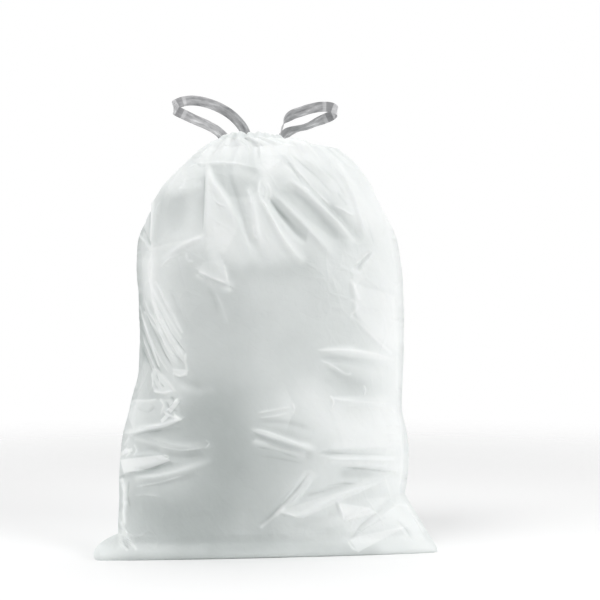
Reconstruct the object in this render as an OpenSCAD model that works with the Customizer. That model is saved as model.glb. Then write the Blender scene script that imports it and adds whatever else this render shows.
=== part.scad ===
// Filled drawstring bin bag, standing on its bottom.
// The bag is white film, sealed up both sides and folded over at the mouth into a hem. A flat tape runs
// through the hem of each panel. The tapes are welded to each other at the side seals, and the welds are
// pulled out through a notch at each seal as two loops, which draws the mouth shut.
// Millimetres: the floor is z = 0, the front faces -Y and the side seals point to -X and +X.

/* [Filled bag] */
// Height from the floor to the lip of the drawn-up mouth
bag_h = 530; // [500:1:570]
// Width across the filled belly, without the side seals
belly_w = 352; // [320:1:390]
// Depth of the filled belly, front to back
belly_d = 208; // [180:1:235]
// Width of the flat sealed strip down each side
seal_w = 7; // [4:0.5:10]
// How strongly the folds stand out of the film
fold_strength = 1; // [0.5:0.05:1.15]

/* [Bottom corners] */
// How far the left corner lies out past the belly
left_ear = 28.8; // [15:0.1:40]
// Height at which the left corner joins the belly
left_ear_h = 29; // [20:1:40]
// How blunt the left corner's end is: 1 runs straight down to the floor
left_ear_round = 3; // [1.2:0.1:4]
// How far the right corner stands out past the belly
right_ear = 38; // [20:0.1:45]
// Height at which the right corner joins the belly
right_ear_h = 69; // [45:1:80]
// How blunt the right corner's end is
right_ear_round = 1.2; // [1:0.1:3]

/* [Mouth] */
// Where the middle of the mouth is, right of the bag's middle
mouth_x = -21; // [-30:1:0]
// Radius of the gathered hem at its lip, measured to the middle of the gathers
mouth_r = 40; // [39:0.5:46]
// Width of the puckered film between the hem's outer and inner lip
lip_w = 12; // [11:0.5:14]
// Depth of the pucker inside the mouth
pucker_d = 11; // [6:0.5:14]
// How far a gather stands out from the middle of the hem
gather_d = 3; // [1:0.25:3.5]

// How far the left seal has turned towards the back at the mouth, in degrees
left_turn = 48; // [42:1:52]
// How far the right seal has turned towards the back at the mouth, in degrees
right_turn = 12; // [6:1:18]
// Sweep of the gathered notch at the left seal, in degrees
left_notch_sweep = 100; // [92:1:106]
// Sweep of the gathered notch at the right seal, in degrees
right_notch_sweep = 68; // [62:1:74]

/* [Drawtapes] */
// Width of a tape
tape_w = 13; // [11:0.5:14]
// Thickness of a tape
tape_t = 0.8; // [0.6:0.1:1.2]
// Radius at which the tapes run round inside the hem
tape_run_r = 34; // [33:0.25:34.5]
// Room between a tape and the hem channel, on each side
tape_gap = 0.3; // [0.2:0.05:0.4]
// Film above the hem channel
hem_cover = 3.4; // [2.5:0.1:5]

/* [Hidden] */

half_w = belly_w / 2;
half_d = belly_d / 2;

// Colours
film_white = [0.93, 0.945, 0.94];
tape_grey = [0.56, 0.56, 0.57];

function unit(v) = v / norm(v);
function sum(list) = len(list) == 0 ? 0 : list * [for (v = list) 1];
function bell(d, width) = exp(-d * d / (width * width));
function smooth(v, from, to) =
    let (t = max(0, min(1, (v - from) / (to - from))))
    t * t * (3 - 2 * t);

// Cross-sections of the filled bag, from the floor to the shoulder.
// up is a share of the height, left and right of half the width, front and back of half the depth.
// The seals lie at seal_l and seal_r, shares of half the depth: at the floor they are in front, in line
// with the bottom fold. A fullness over 1 draws the section into a lens with a sharp edge at each seal.
//    up     left   right  front  back  seal_l seal_r fullness
SECTIONS = [
    [0.000, 0.99, 0.95, -0.83, 0.66, -0.99, -0.52, 1.30],
    [0.008, 1.00, 0.96, -0.86, 0.78, -0.98, -0.50, 1.30],
    [0.023, 1.01, 0.96, -0.84, 0.88, -0.92, -0.46, 1.28],
    [0.046, 1.01, 0.95, -0.80, 0.95, -0.82, -0.40, 1.25],
    [0.085, 1.02, 0.95, -0.84, 1.00, -0.66, -0.32, 1.22],
    [0.122, 1.03, 0.95, -0.89, 1.02, -0.50, -0.22, 1.20],
    [0.160, 1.04, 0.97, -0.93, 1.02, -0.34, -0.12, 1.18],
    [0.226, 1.05, 0.99, -0.98, 1.01, -0.12, -0.02, 1.16],
    [0.283, 1.03, 0.97, -1.00, 1.00, -0.02,  0.00, 1.15],
    [0.340, 0.99, 0.94, -1.00, 1.00,  0.02,  0.02, 1.14],
    [0.425, 0.93, 0.95, -1.00, 1.00,  0.04,  0.02, 1.13],
    [0.528, 0.92, 0.955, -1.00, 1.00, 0.04,  0.00, 1.12],
    [0.623, 0.93, 0.95, -0.98, 0.98,  0.02,  0.00, 1.12],
    [0.698, 0.94, 0.93, -0.95, 0.96,  0.00,  0.00, 1.12],
    [0.774, 0.92, 0.89, -0.89, 0.92,  0.00,  0.00, 1.10],
    [0.830, 0.865, 0.83, -0.82, 0.86, 0.00,  0.00, 1.08],
    [0.887, 0.75, 0.74, -0.72, 0.77,  0.00,  0.00, 1.05],
    [0.934, 0.62, 0.63, -0.61, 0.66,  0.00,  0.00, 1.02],
    [0.966, 0.51, 0.51, -0.51, 0.55,  0.00,  0.00, 1.00]];
shoulder_up = SECTIONS[len(SECTIONS) - 1][0];

// The section at any height, on a smooth curve through the listed ones
function slope(i) =
    let (a = SECTIONS[max(i - 1, 0)], b = SECTIONS[min(i + 1, len(SECTIONS) - 1)])
    (b - a) / (b[0] - a[0]);
function section_at(up) =
    let (
        i = min(len([for (row = SECTIONS) if (row[0] <= up) 1]), len(SECTIONS) - 1) - 1,
        a = SECTIONS[i],
        b = SECTIONS[i + 1],
        step = b[0] - a[0],
        t = (up - a[0]) / step)
    a * (1 + 2 * t) * (1 - t) * (1 - t) + slope(i) * step * t * (1 - t) * (1 - t)
        + b * t * t * (3 - 2 * t) - slope(i + 1) * step * t * t * (1 - t);

// Heights of the rings: close together where the bag meets the floor, then even
FLOOR_RINGS = [0, 0.009, 0.024, 0.036, 0.047, 0.058];
EVEN_FROM = 0.072;
EVEN_RINGS = 36;
ring_ups = concat(
    FLOOR_RINGS,
    [for (k = [0 : EVEN_RINGS]) EVEN_FROM + (shoulder_up - EVEN_FROM) * k / EVEN_RINGS]);

// Columns of film round the bag, as turns from the right seal at 0 to the left seal at 180 along the back
// and on to 360 across the front. A few lie close together at each seal, and most are in front.
BACK_COLUMNS = 28;
FRONT_COLUMNS = 52;
SEAL_EDGE = 2.2;
SEAL_ROOT = 5;
OPEN_SWEEP = 180 - 2 * SEAL_ROOT;
COLUMNS = concat(
    [0, SEAL_EDGE],
    [for (i = [0 : BACK_COLUMNS]) SEAL_ROOT + OPEN_SWEEP * i / BACK_COLUMNS],
    [180 - SEAL_EDGE, 180, 180 + SEAL_EDGE],
    [for (i = [0 : FRONT_COLUMNS]) 180 + SEAL_ROOT + OPEN_SWEEP * i / FRONT_COLUMNS],
    [360 - SEAL_EDGE]);
N = len(COLUMNS);

// Drawing the mouth shut turns the film: each column drifts from its own turn to another one at the mouth
DRIFT_FROM = 0.72;
function turn_at(column, up) =
    column + smooth(up, DRIFT_FROM, 1)
        * ((right_turn - left_turn) / 2 + (right_turn + left_turn) / 2 * cos(column) + 6 * sin(column));

// Reach of a bottom corner at height z: widest just over the floor, gone at its own height
FLOOR_TUCK = 0.9;
function ear(z, reach, height, roundness) =
    z >= height ? 0 : reach * (z <= 0 ? FLOOR_TUCK : 1 - pow(z / height, roundness));

// A point of the plain bag, before its folds, at one column and height
FIN_TOP = 0.84;
function section_point(up, column) =
    let (
        row = section_at(up),
        z = up * bag_h,
        left = -row[1] * half_w - ear(z, left_ear, left_ear_h, left_ear_round),
        right = row[2] * half_w + ear(z, right_ear, right_ear_h, right_ear_round),
        turn = turn_at(column, up),
        c = cos(turn),
        s = sin(turn),
        fin = seal_w * bell(sin(column), 0.07) * sign(c) * (1 - smooth(up, DRIFT_FROM, FIN_TOP)),
        mid_seal_y = half_d * (row[5] + row[6]) / 2,
        seal_y = mid_seal_y + half_d * (row[6] - row[5]) / 2 * c,
        face_y = half_d * (s < 0 ? row[3] : row[4]))
    [(left + right) / 2 + (right - left) / 2 * c + fin,
     seal_y + (face_y - mid_seal_y) * pow(abs(s), row[7]),
     z];

// Rings of the gathered hem above the shoulder: [radius past the lip's, height over the lip]
hem_rings = [
    [4.5, -5], [1.8, -2.6], [-1.2, -0.5], [-4, 0], [-lip_w + 2.5, -0.8], [-lip_w, -3.5],
    [-lip_w - 4, -pucker_d * 0.55], [-lip_w - 11, -pucker_d * 0.8], [-lip_w - 19, -pucker_d]];

function hem_point(ring, column) =
    let (turn = turn_at(column, 1))
    [mouth_x + (mouth_r + ring[0]) * cos(turn), (mouth_r + ring[0]) * sin(turn), bag_h + ring[1]];

// The shoulder rounds over from the highest section to the foot of the hem
SHOULDER_RINGS = 4;
SHOULDER_ARRIVAL = 66;
hem_foot = [7.5, -6.5];
function shoulder_point(t, column) =
    let (
        low = section_point(shoulder_up, column),
        top = hem_point(hem_foot, column),
        risen = sin(SHOULDER_ARRIVAL * t) / sin(SHOULDER_ARRIVAL))
    [low[0] + (top[0] - low[0]) * t, low[1] + (top[1] - low[1]) * t, low[2] + (top[2] - low[2]) * risen];

plain_rings = concat(
    [for (up = ring_ups) [for (column = COLUMNS) section_point(up, column)]],
    [for (k = [1 : SHOULDER_RINGS]) [for (column = COLUMNS) shoulder_point(k / SHOULDER_RINGS, column)]],
    [for (ring = hem_rings) [for (column = COLUMNS) hem_point(ring, column)]]);
RINGS = len(plain_rings);
FOLDED_RINGS = len(ring_ups) + SHOULDER_RINGS;

// Outward direction at ring i, column j, from the neighbouring points
function outward(i, j) =
    let (
        ring = plain_rings[i],
        round_step = ring[(j + 1) % N] - ring[(j + N - 1) % N],
        up_step = plain_rings[min(i + 1, RINGS - 1)][j] - plain_rings[max(i - 1, 0)][j])
    unit(cross(round_step, up_step));

// Folds pulled across the film.
// Each is a path, its half width on the left and on the right of its direction, and its height, where a
// negative height is a groove. A place on the path is [across, up] in per cent: across from the left seal at
// -100 to the right seal at 100, up from the floor at 0 to the lip at 100. Front and back are the bag's
// two panels.
FRONT_FOLDS = [
    // Flap below the left shoulder, with a straight left edge and a drooping tip
    [[[-43, 91.5], [-43, 83], [-44, 74.5]], 13, 4, 3.2],
    [[[-42, 91], [-36, 86.5], [-27, 81.5], [-19, 76.5]], 5, 9, 3],
    [[[-43, 75], [-58, 73], [-73, 70]], 5, 5, 2.6],
    [[[-61, 86.5], [-62, 81], [-63, 75]], 14, 14, -2.8],
    [[[-69, 84], [-59, 86], [-47, 87.5]], 7, 7, 1.8],
    [[[-38, 71.5], [-37, 68], [-28, 64]], 8, 7, 2.4],
    [[[-47, 65.5], [-37, 63.5], [-25, 62.5]], 5, 5, -1.8],
    // Creases that fan out from the mouth
    [[[-29, 90], [-20, 82], [-12, 74.5], [-2, 67.5]], 7, 7, -3.6],
    [[[-13, 86], [-9, 79.5], [-6, 72.5]], 5, 6, 2.6],
    [[[-4, 83.5], [3, 79], [13, 73], [23, 69]], 4, 6, 3.2],
    [[[-1, 84.5], [8, 80.5], [18, 76.5], [29, 73]], 5, 5, -4],
    [[[3, 85.5], [16, 80.5], [31, 75.5], [46, 70]], 6, 5, 3.2],
    [[[11, 87], [24, 83.5], [39, 78.5], [55, 72]], 8, 8, -3.4],
    [[[13, 88.5], [27, 85], [45, 79.5], [66, 72]], 6, 5, 3],
    [[[35, 84], [48, 80.5], [59, 76.5], [66, 73.5]], 9, 7, -3.4],
    [[[45, 92.5], [57, 87], [65, 80.5], [71, 72.5]], 12, 5, 2.8],
    [[[9, 93], [21, 89.5], [35, 85]], 5, 4, -2],
    [[[23, 94.5], [38, 90.5], [51, 85]], 8, 6, 1.8],
    // Kink on the right shoulder and the edge that runs down from it
    [[[74, 71.5], [68, 69.5], [62, 66.5]], 4, 5, -3.2],
    [[[61, 68], [60, 63.5], [62, 59.5], [62, 56.5], [70, 53], [86, 48]], 14, 4, 3],
    // Folds across the right of the belly
    [[[35, 48], [56, 48], [87, 45.5]], 5, 5, 3],
    [[[35, 46.5], [57, 46], [87, 43.5]], 5, 6, -3],
    [[[38, 45], [54, 41.5], [73, 39]], 9, 9, -1.8],
    [[[44, 37], [66, 36.5], [89, 36]], 4, 7, 2.6],
    [[[-12, 30], [3, 28.5], [21, 26.5], [35, 25]], 5, 4, 3.6],
    [[[-8, 32], [13, 31.5], [34, 29.5]], 5, 5, -2],
    [[[-4, 27], [16, 25.5], [32, 23.5]], 4, 6, -2.6],
    [[[35, 24.5], [57, 24.5], [94, 24]], 4, 5, -3.4],
    [[[42, 23], [67, 22.5], [94, 21.5]], 5, 4, 3.2],
    [[[51, 20], [71, 20], [91, 20.5]], 5, 5, -2.2],
    // Pulls from the right corner
    [[[30, 20.5], [17, 15], [3, 10], [-6, 7]], 5, 5, -3.2],
    [[[31, 19], [23, 15], [13, 11.5]], 4, 4, 2.2],
    [[[8, 11], [23, 10], [41, 13], [63, 16], [89, 19]], 5, 5, 3.4],
    [[[23, 14.5], [41, 15.5], [59, 17]], 4, 4, -2.4],
    [[[23, 9], [37, 9], [49, 10.5]], 6, 7, -2],
    [[[49, 13], [51, 11], [54, 9]], 10, 3, 2.4],
    [[[57, 3], [67, 7], [80, 10], [92, 12.5]], 5, 5, -3],
    // Slanting gathers on the left side
    [[[-79, 84], [-81, 78], [-82, 71.5]], 4, 5, 2.2],
    [[[-82, 71], [-82, 63.5], [-75, 56], [-63, 49.5]], 7, 6, 3],
    [[[-87, 60], [-82, 54], [-75, 48.5]], 4, 4, -2.6],
    [[[-70, 62.5], [-62, 56.5], [-54, 51]], 6, 6, -2],
    [[[-75, 55.5], [-66, 50], [-57, 45]], 4, 4, 2.4],
    [[[-68, 43], [-57, 40.5], [-45, 39]], 6, 6, -2],
    // Crumple and pulls on the lower left
    [[[-61, 37], [-68, 35], [-73, 33]], 4, 4, 2.4],
    [[[-95, 29.5], [-76, 30.5], [-60, 32.5]], 4, 5, 2.8],
    [[[-91, 28], [-72, 26.5], [-54, 26], [-42, 27]], 5, 5, 2.4],
    [[[-88, 25], [-66, 23.5], [-44, 24]], 5, 5, -2.4],
    [[[-100, 22.5], [-84, 23.5], [-69, 24]], 5, 5, 3.2],
    [[[-98, 19.5], [-83, 20.5], [-68, 22.5]], 4, 4, -3.6],
    [[[-100, 18], [-80, 18.5], [-59, 20.5], [-39, 23]], 5, 5, 3.4],
    [[[-94, 16], [-73, 17], [-50, 19]], 6, 7, -2],
    // Puff of film on the right of the mouth
    [[[12, 99], [30, 97]], 14, 14, 3.5]];

BACK_FOLDS = [
    // Creases that fan out from the mouth
    [[[-26, 95], [-48, 83], [-64, 72]], 8, 7, -4],
    [[[-19, 94], [-32, 82], [-40, 70]], 7, 8, 3.4],
    [[[-13, 95], [-17, 82], [-18, 69]], 8, 7, -4],
    [[[-7, 95], [-3, 84], [4, 73]], 7, 8, 3.4],
    [[[-1, 94], [11, 82], [26, 71]], 8, 7, -4],
    [[[7, 94], [26, 83], [48, 73]], 7, 8, 3.4],
    [[[15, 94], [41, 84], [68, 74]], 8, 8, -3.6],
    // Slack folds across the belly
    [[[-92, 52], [-66, 50], [-42, 45]], 7, 9, 3.6],
    [[[-88, 44], [-62, 42], [-36, 37]], 8, 7, -3.2],
    [[[94, 60], [64, 59], [36, 54]], 7, 9, 3.6],
    [[[92, 35], [62, 40], [32, 41]], 9, 7, -3.2],
    [[[-34, 33], [0, 33], [34, 29]], 9, 8, 3.2],
    [[[-92, 27], [-62, 26.5], [-34, 23]], 8, 8, 3.6],
    [[[94, 19], [66, 23.5], [38, 25]], 8, 8, 3.6],
    [[[-64, 11], [-36, 15.5], [-6, 17]], 8, 8, -2.8],
    [[[8, 15], [40, 13.5], [70, 9]], 8, 8, 2.8]];

function fold_place(p) = [p[0] / 100 * half_w, p[1] / 100 * bag_h];

// Where place p lies from stretch k of a path: [distance, side (over 0 on the left), share of the path]
function from_stretch(path, k, p) =
    let (
        a = fold_place(path[k]),
        run = fold_place(path[k + 1]) - a,
        t = max(0, min(1, (p - a) * run / (run * run))),
        off = p - a - t * run)
    [norm(off), run[0] * off[1] - run[1] * off[0], (k + t) / (len(path) - 1)];
function nearest(places) =
    let (least = min([for (at = places) at[0]]))
    [for (at = places) if (at[0] == least) at][0];

// Height of one fold at place p on its panel: a rounded ridge that starts narrow and dies out towards its
// ends. It is never narrower than the facets can show.
END_FADE = 0.3;
NARROW_START = 0.55;
LEAST_W = 8;
function fold_height(fold, p) =
    let (
        path = fold[0],
        at = nearest([for (k = [0 : len(path) - 2]) from_stretch(path, k, p)]),
        width = max(LEAST_W, (at[1] > 0 ? fold[1] : fold[2]) * (NARROW_START + (1 - NARROW_START) * at[2])))
    at[0] > 2.5 * width ? 0
        : fold[3] * bell(at[0], width) * smooth(min(at[2], 1 - at[2]), -0.05, END_FADE);

// Gathers that radiate from the mouth: fine ones at the hem run together into broader ones below it
FINE_GATHERS = 31;
BROAD_GATHERS = 14;
function gathers_at(column, up) =
    let (
        drift = 14 * sin(2 * column + 40) + 8 * sin(5 * column),
        fine = sin(FINE_GATHERS * column + 3 * drift) * (0.75 + 0.25 * sin(3 * column + 70)),
        broad = sin(BROAD_GATHERS * column + 2 * drift) * (0.7 + 0.3 * sin(4 * column)))
    gather_d * (fine * 0.8 * smooth(up, 0.88, 0.985)
                + broad * 0.87 * smooth(up, 0.74, 0.9) * (1 - smooth(up, 0.94, 1)));

// Ripples along the edge of each side seal
SEAL_RIPPLE = 3;
SEAL_WAVE = 52;
SEAL_STILL = 20;
SEAL_FREE = 60;
function seal_ripple(column, z) =
    SEAL_RIPPLE * bell(sin(column), 0.09) * sin(360 * z / SEAL_WAVE) * smooth(z, SEAL_STILL, SEAL_FREE)
        * (1 - smooth(z, 0.8 * bag_h, 0.9 * bag_h));

// How far the film stands out at one column, from the plain point p. The floor keeps the lowest film flat.
FLOOR_FADE = 16;
function relief(column, p, folded) =
    let (
        in_panel = smooth(abs(sin(column)), 0.02, 0.16),
        folds = !folded ? 0
            : in_panel * sum([for (fold = column > 180 ? FRONT_FOLDS : BACK_FOLDS) fold_height(fold, [p[0], p[2]])]))
    (fold_strength * folds + gathers_at(column, folded ? p[2] / bag_h : 1)) * smooth(p[2], 0, FLOOR_FADE);

reliefs = [for (i = [0 : RINGS - 1])
    [for (j = [0 : N - 1]) i == RINGS - 1 ? 0 : relief(COLUMNS[j], plain_rings[i][j], i < FOLDED_RINGS)]];

function film_point(i, j) =
    let (p = plain_rings[i][j])
    p + reliefs[i][j] * outward(i, j) + [0, seal_ripple(COLUMNS[j], p[2]), 0];

// Two triangles for each cell, split along the diagonal that follows the fold through it
function cell(i, j) =
    let (
        k = (j + 1) % N,
        a = i * N + j,
        b = i * N + k,
        c = a + N,
        d = b + N,
        p = (plain_rings[i][j] + plain_rings[i + 1][k]) / 2,
        middle = relief((COLUMNS[j] + (k == 0 ? 360 : COLUMNS[k])) / 2, p, i < FOLDED_RINGS),
        rising = abs((reliefs[i][j] + reliefs[i + 1][k]) / 2 - middle),
        falling = abs((reliefs[i][k] + reliefs[i + 1][j]) / 2 - middle))
    rising <= falling ? [[a, d, b], [a, c, d]] : [[a, c, b], [b, c, d]];

module film() {
    film_points = [for (i = [0 : RINGS - 1], j = [0 : N - 1]) film_point(i, j)];
    floor_middle = [0, -0.1 * half_d, 0];
    pucker_middle = [mouth_x, 0, bag_h - pucker_d];
    floor_index = RINGS * N;
    pucker_index = floor_index + 1;
    last_ring = (RINGS - 1) * N;
    polyhedron(
        points = concat(film_points, [floor_middle, pucker_middle]),
        faces = concat(
            [for (j = [0 : N - 1]) [floor_index, j, (j + 1) % N]],
            [for (i = [0 : RINGS - 2], j = [0 : N - 1], t = cell(i, j)) t],
            [for (j = [0 : N - 1]) [last_ring + j, pucker_index, last_ring + (j + 1) % N]]),
        convexity = 10);
}

// Channel that the tapes run in, inside the hem
channel_h = tape_w + 2 * tape_gap;
channel_w = tape_t + 2 * tape_gap;
channel_z = bag_h - hem_cover - channel_h;
tape_z = channel_z + channel_h / 2;

// A notch at each seal opens the hem between two turns, where the tapes leave it
left_notch = [180 - left_turn - left_notch_sweep / 2, 180 - left_turn + left_notch_sweep / 2];
right_notch = [right_turn - right_notch_sweep / 2, right_turn + right_notch_sweep / 2];
NOTCH_IN = 3;
NOTCH_OUT = 14;
NOTCH_BELOW = 1.5;

module notch(turns) {
    rotate([0, 0, turns[0]])
        rotate_extrude(angle = turns[1] - turns[0], $fn = 48)
            translate([tape_run_r - NOTCH_IN, -NOTCH_BELOW])
                square([NOTCH_IN + NOTCH_OUT, NOTCH_BELOW + channel_h + hem_cover + gather_d + 1]);
}

module hem_channel() {
    translate([mouth_x, 0, channel_z]) {
        rotate_extrude($fn = 48)
            translate([tape_run_r - channel_w / 2, 0])
                square([channel_w, channel_h]);
        notch(left_notch);
        notch(right_notch);
    }
}

module bag() {
    color(film_white)
        difference() {
            film();
            hem_channel();
        }
}

// Stations of the closed band that the two tapes make: where its middle is, from the middle of the lip,
// and the direction across its width. The hidden runs are worked out, and the loops follow points chosen
// by hand.
UPRIGHT = [0, 0, 1];
RUN_STEP = 14;
RUN_PAST = 8;
function hidden_run(from, to) =
    let (steps = ceil((to - from) / RUN_STEP))
    [for (k = [0 : steps])
        let (turn = from + (to - from) * k / steps)
        [[tape_run_r * cos(turn), tape_run_r * sin(turn), tape_z - bag_h], UPRIGHT]];

// From the left weld down into the hem's front
LEFT_LOWER = [
    [[-103.5, -0.5, 38.5], [-0.1, -0.62, 0.78]],
    [[-98.5, -5, 33], [0.35, -0.1, 0.93]],
    [[-88, -6, 27.5], [0.4, 0.1, 0.9]],
    [[-75, -3.5, 21.5], [0.35, 0.25, 0.9]],
    [[-61, 2, 16], [0.3, 0.3, 0.9]],
    [[-49, 8.5, 10], [0.25, 0.2, 0.93]],
    [[-41, 13, 3.5], [0.1, 0, 0.95]],
    [[-35.5, 13, -3.5], [-0.1, -0.2, 0.95]],
    [[-33.7, 8.5, -8.2], [0, -0.2, 0.97]]];
// From the hem's front up to the right weld
RIGHT_UPPER = [
    [[34, -2.8, -7.8], [0, -0.6, 0.8]],
    [[34.6, 0, -2], [0, -0.93, 0.3]],
    [[35.5, 1, 5], [0.1, -1, 0.05]],
    [[38, 1, 14], [0.2, -0.95, 0.05]],
    [[42, 0.5, 22], [-0.1, -0.85, 0.5]],
    [[50, 0, 28.5], [-0.35, -0.4, 0.85]],
    [[61, -0.5, 32.5], [-0.3, -0.3, 0.9]],
    [[74, -1, 36.5], [-0.2, -0.25, 0.95]],
    [[88, -1, 39], [-0.1, -0.2, 0.97]],
    [[101, 0.5, 38.5], [0.2, -0.1, 0.97]]];
// From the right weld down into the hem's back
RIGHT_LOWER = [
    [[109.5, 5, 33.5], [0.1, 0.55, 0.8]],
    [[103, 9.5, 29.5], [-0.35, 0.2, 0.9]],
    [[93, 11, 25], [-0.4, -0.3, 0.85]],
    [[82, 11.8, 20.3], [-0.35, -0.65, 0.65]],
    [[70, 12.3, 14.8], [-0.2, -0.85, 0.5]],
    [[56, 13, 11.5], [-0.1, -0.8, 0.55]],
    [[44, 14, 6.8], [-0.2, -0.4, 0.87]],
    [[36, 15.5, -1.5], [-0.5, 0.1, 0.85]],
    [[31.2, 17.6, -7.2], [-0.25, 0, 0.95]]];
// From the hem's back up to the left weld
LEFT_UPPER = [
    [[-6.4, 34, -7.6], [0.7, 0, 0.7]],
    [[-9.2, 34, -1], [1, 0, 0.05]],
    [[-10.5, 33.5, 7], [0.98, 0, 0.15]],
    [[-14.5, 33, 16], [0.85, 0, 0.5]],
    [[-22, 31.5, 25.5], [0.75, 0, 0.66]],
    [[-33, 29, 35], [0.6, 0, 0.8]],
    [[-47, 25, 42.5], [0.4, 0, 0.92]],
    [[-62, 20, 47.5], [0.2, 0, 0.98]],
    [[-77, 14.5, 49.5], [0.02, 0, 1]],
    [[-89.5, 9, 48], [-0.12, 0, 0.99]],
    [[-98.5, 4, 44], [-0.38, -0.05, 0.92]]];

front_run = hidden_run(left_notch[1] - RUN_PAST, 360 + right_notch[0] + RUN_PAST);
back_run = hidden_run(right_notch[1] - RUN_PAST, left_notch[0] + RUN_PAST);
front_part = concat(LEFT_LOWER, front_run, RIGHT_UPPER);
band = concat(front_part, RIGHT_LOWER, back_run, LEFT_UPPER);

// Smooth closed curve through one column of the band's stations, at station i and share t past it
function band_at(column, i, t) =
    let (
        count = len(band),
        a = band[(i + count - 1) % count][column],
        b = band[i % count][column],
        c = band[(i + 1) % count][column],
        d = band[(i + 2) % count][column])
    0.5 * (2 * b + (c - a) * t + (2 * a - 5 * b + 4 * c - d) * t * t + (3 * b - a - 3 * c + d) * t * t * t);

// Four corners of the band's section, square-edged, at step k
TAPE_STEPS = 3;
function band_section(k) =
    let (
        i = floor(k / TAPE_STEPS),
        t = k / TAPE_STEPS - i,
        middle = band_at(0, i, t),
        forward = unit(band_at(0, i, t + 0.02) - band_at(0, i, t - 0.02)),
        lean = band_at(1, i, t),
        across = unit(lean - (lean * forward) * forward) * tape_w / 2,
        through = unit(cross(forward, across)) * tape_t / 2)
    [for (corner = [across + through, across - through, -across - through, -across + through]) middle + corner];

// A length of the band, from one station to another. Both wide faces are split along the same diagonals.
module tape(from, to) {
    last = (to - from) * TAPE_STEPS;
    end = 4 * last;
    translate([mouth_x, 0, bag_h])
        polyhedron(
            points = [for (k = [0 : last], corner = band_section(from * TAPE_STEPS + k)) corner],
            faces = concat(
                [[0, 3, 2], [0, 2, 1], [end, end + 1, end + 2], [end, end + 2, end + 3]],
                [for (i = [0 : last - 1], k = [0 : 3])
                    let (a = 4 * i + k, b = 4 * i + (k + 1) % 4)
                    for (t = k < 2 ? [[a, b, b + 4], [a, b + 4, a + 4]] : [[a, b, a + 4], [b, b + 4, a + 4]])
                        t]),
            convexity = 6);
}

// The tapes end at the welds, which are the tips of the two loops
module front_drawtape() {
    color(tape_grey)
        tape(0, len(front_part));
}

module back_drawtape() {
    color(tape_grey)
        tape(len(front_part), len(band));
}

bag();
front_drawtape();
back_drawtape();
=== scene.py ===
import math
import bpy
import numpy as np
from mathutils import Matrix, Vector, noise


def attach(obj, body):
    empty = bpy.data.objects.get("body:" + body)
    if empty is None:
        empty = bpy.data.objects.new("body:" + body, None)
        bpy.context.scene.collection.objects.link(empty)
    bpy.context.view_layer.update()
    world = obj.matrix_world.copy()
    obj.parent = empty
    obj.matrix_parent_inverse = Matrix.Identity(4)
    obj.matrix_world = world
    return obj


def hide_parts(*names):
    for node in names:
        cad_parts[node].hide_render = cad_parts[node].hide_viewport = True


# Filled drawstring bin bag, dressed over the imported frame: film panels, hem and two drawtapes.
# Metres: the floor is z = 0, the front faces -Y and the side seals point to -X and +X.
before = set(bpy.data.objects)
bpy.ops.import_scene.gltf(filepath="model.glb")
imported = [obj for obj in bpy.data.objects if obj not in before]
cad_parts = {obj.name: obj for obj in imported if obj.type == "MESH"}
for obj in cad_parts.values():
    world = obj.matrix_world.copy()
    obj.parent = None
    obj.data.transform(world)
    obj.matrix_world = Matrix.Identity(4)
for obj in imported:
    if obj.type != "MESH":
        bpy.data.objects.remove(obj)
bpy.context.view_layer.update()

MM = 0.001

# Camera, at the photograph's viewing angle. The picture is square, PICTURE points wide.
PICTURE = 600
PICTURE_WIDTH = 780 * MM
CAMERA_BACK = 1700 * MM
CAMERA_X = 40 * MM
CAMERA_Z = 318 * MM
SENSOR = 36

# The bag's form repeats the part's own sizes
BAG_H = 530 * MM
HALF_W = 176 * MM
HALF_D = 104 * MM
SEAL_W = 7 * MM
LEFT_EAR = 28.8 * MM
LEFT_EAR_H = 29 * MM
RIGHT_EAR = 38 * MM
RIGHT_EAR_H = 69 * MM
FLOOR_TUCK = 0.9
LEFT_EAR_ROUND = 3
RIGHT_EAR_ROUND = 1.2
MOUTH_X = -21 * MM
MOUTH_R = 40 * MM
LEFT_TURN = 48
RIGHT_TURN = 12
LEFT_NOTCH_SWEEP = 100
RIGHT_NOTCH_SWEEP = 68
DRIFT_FROM = 0.72
FIN_TOP = 0.84
SHOULDER_ARRIVAL = 66

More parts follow.
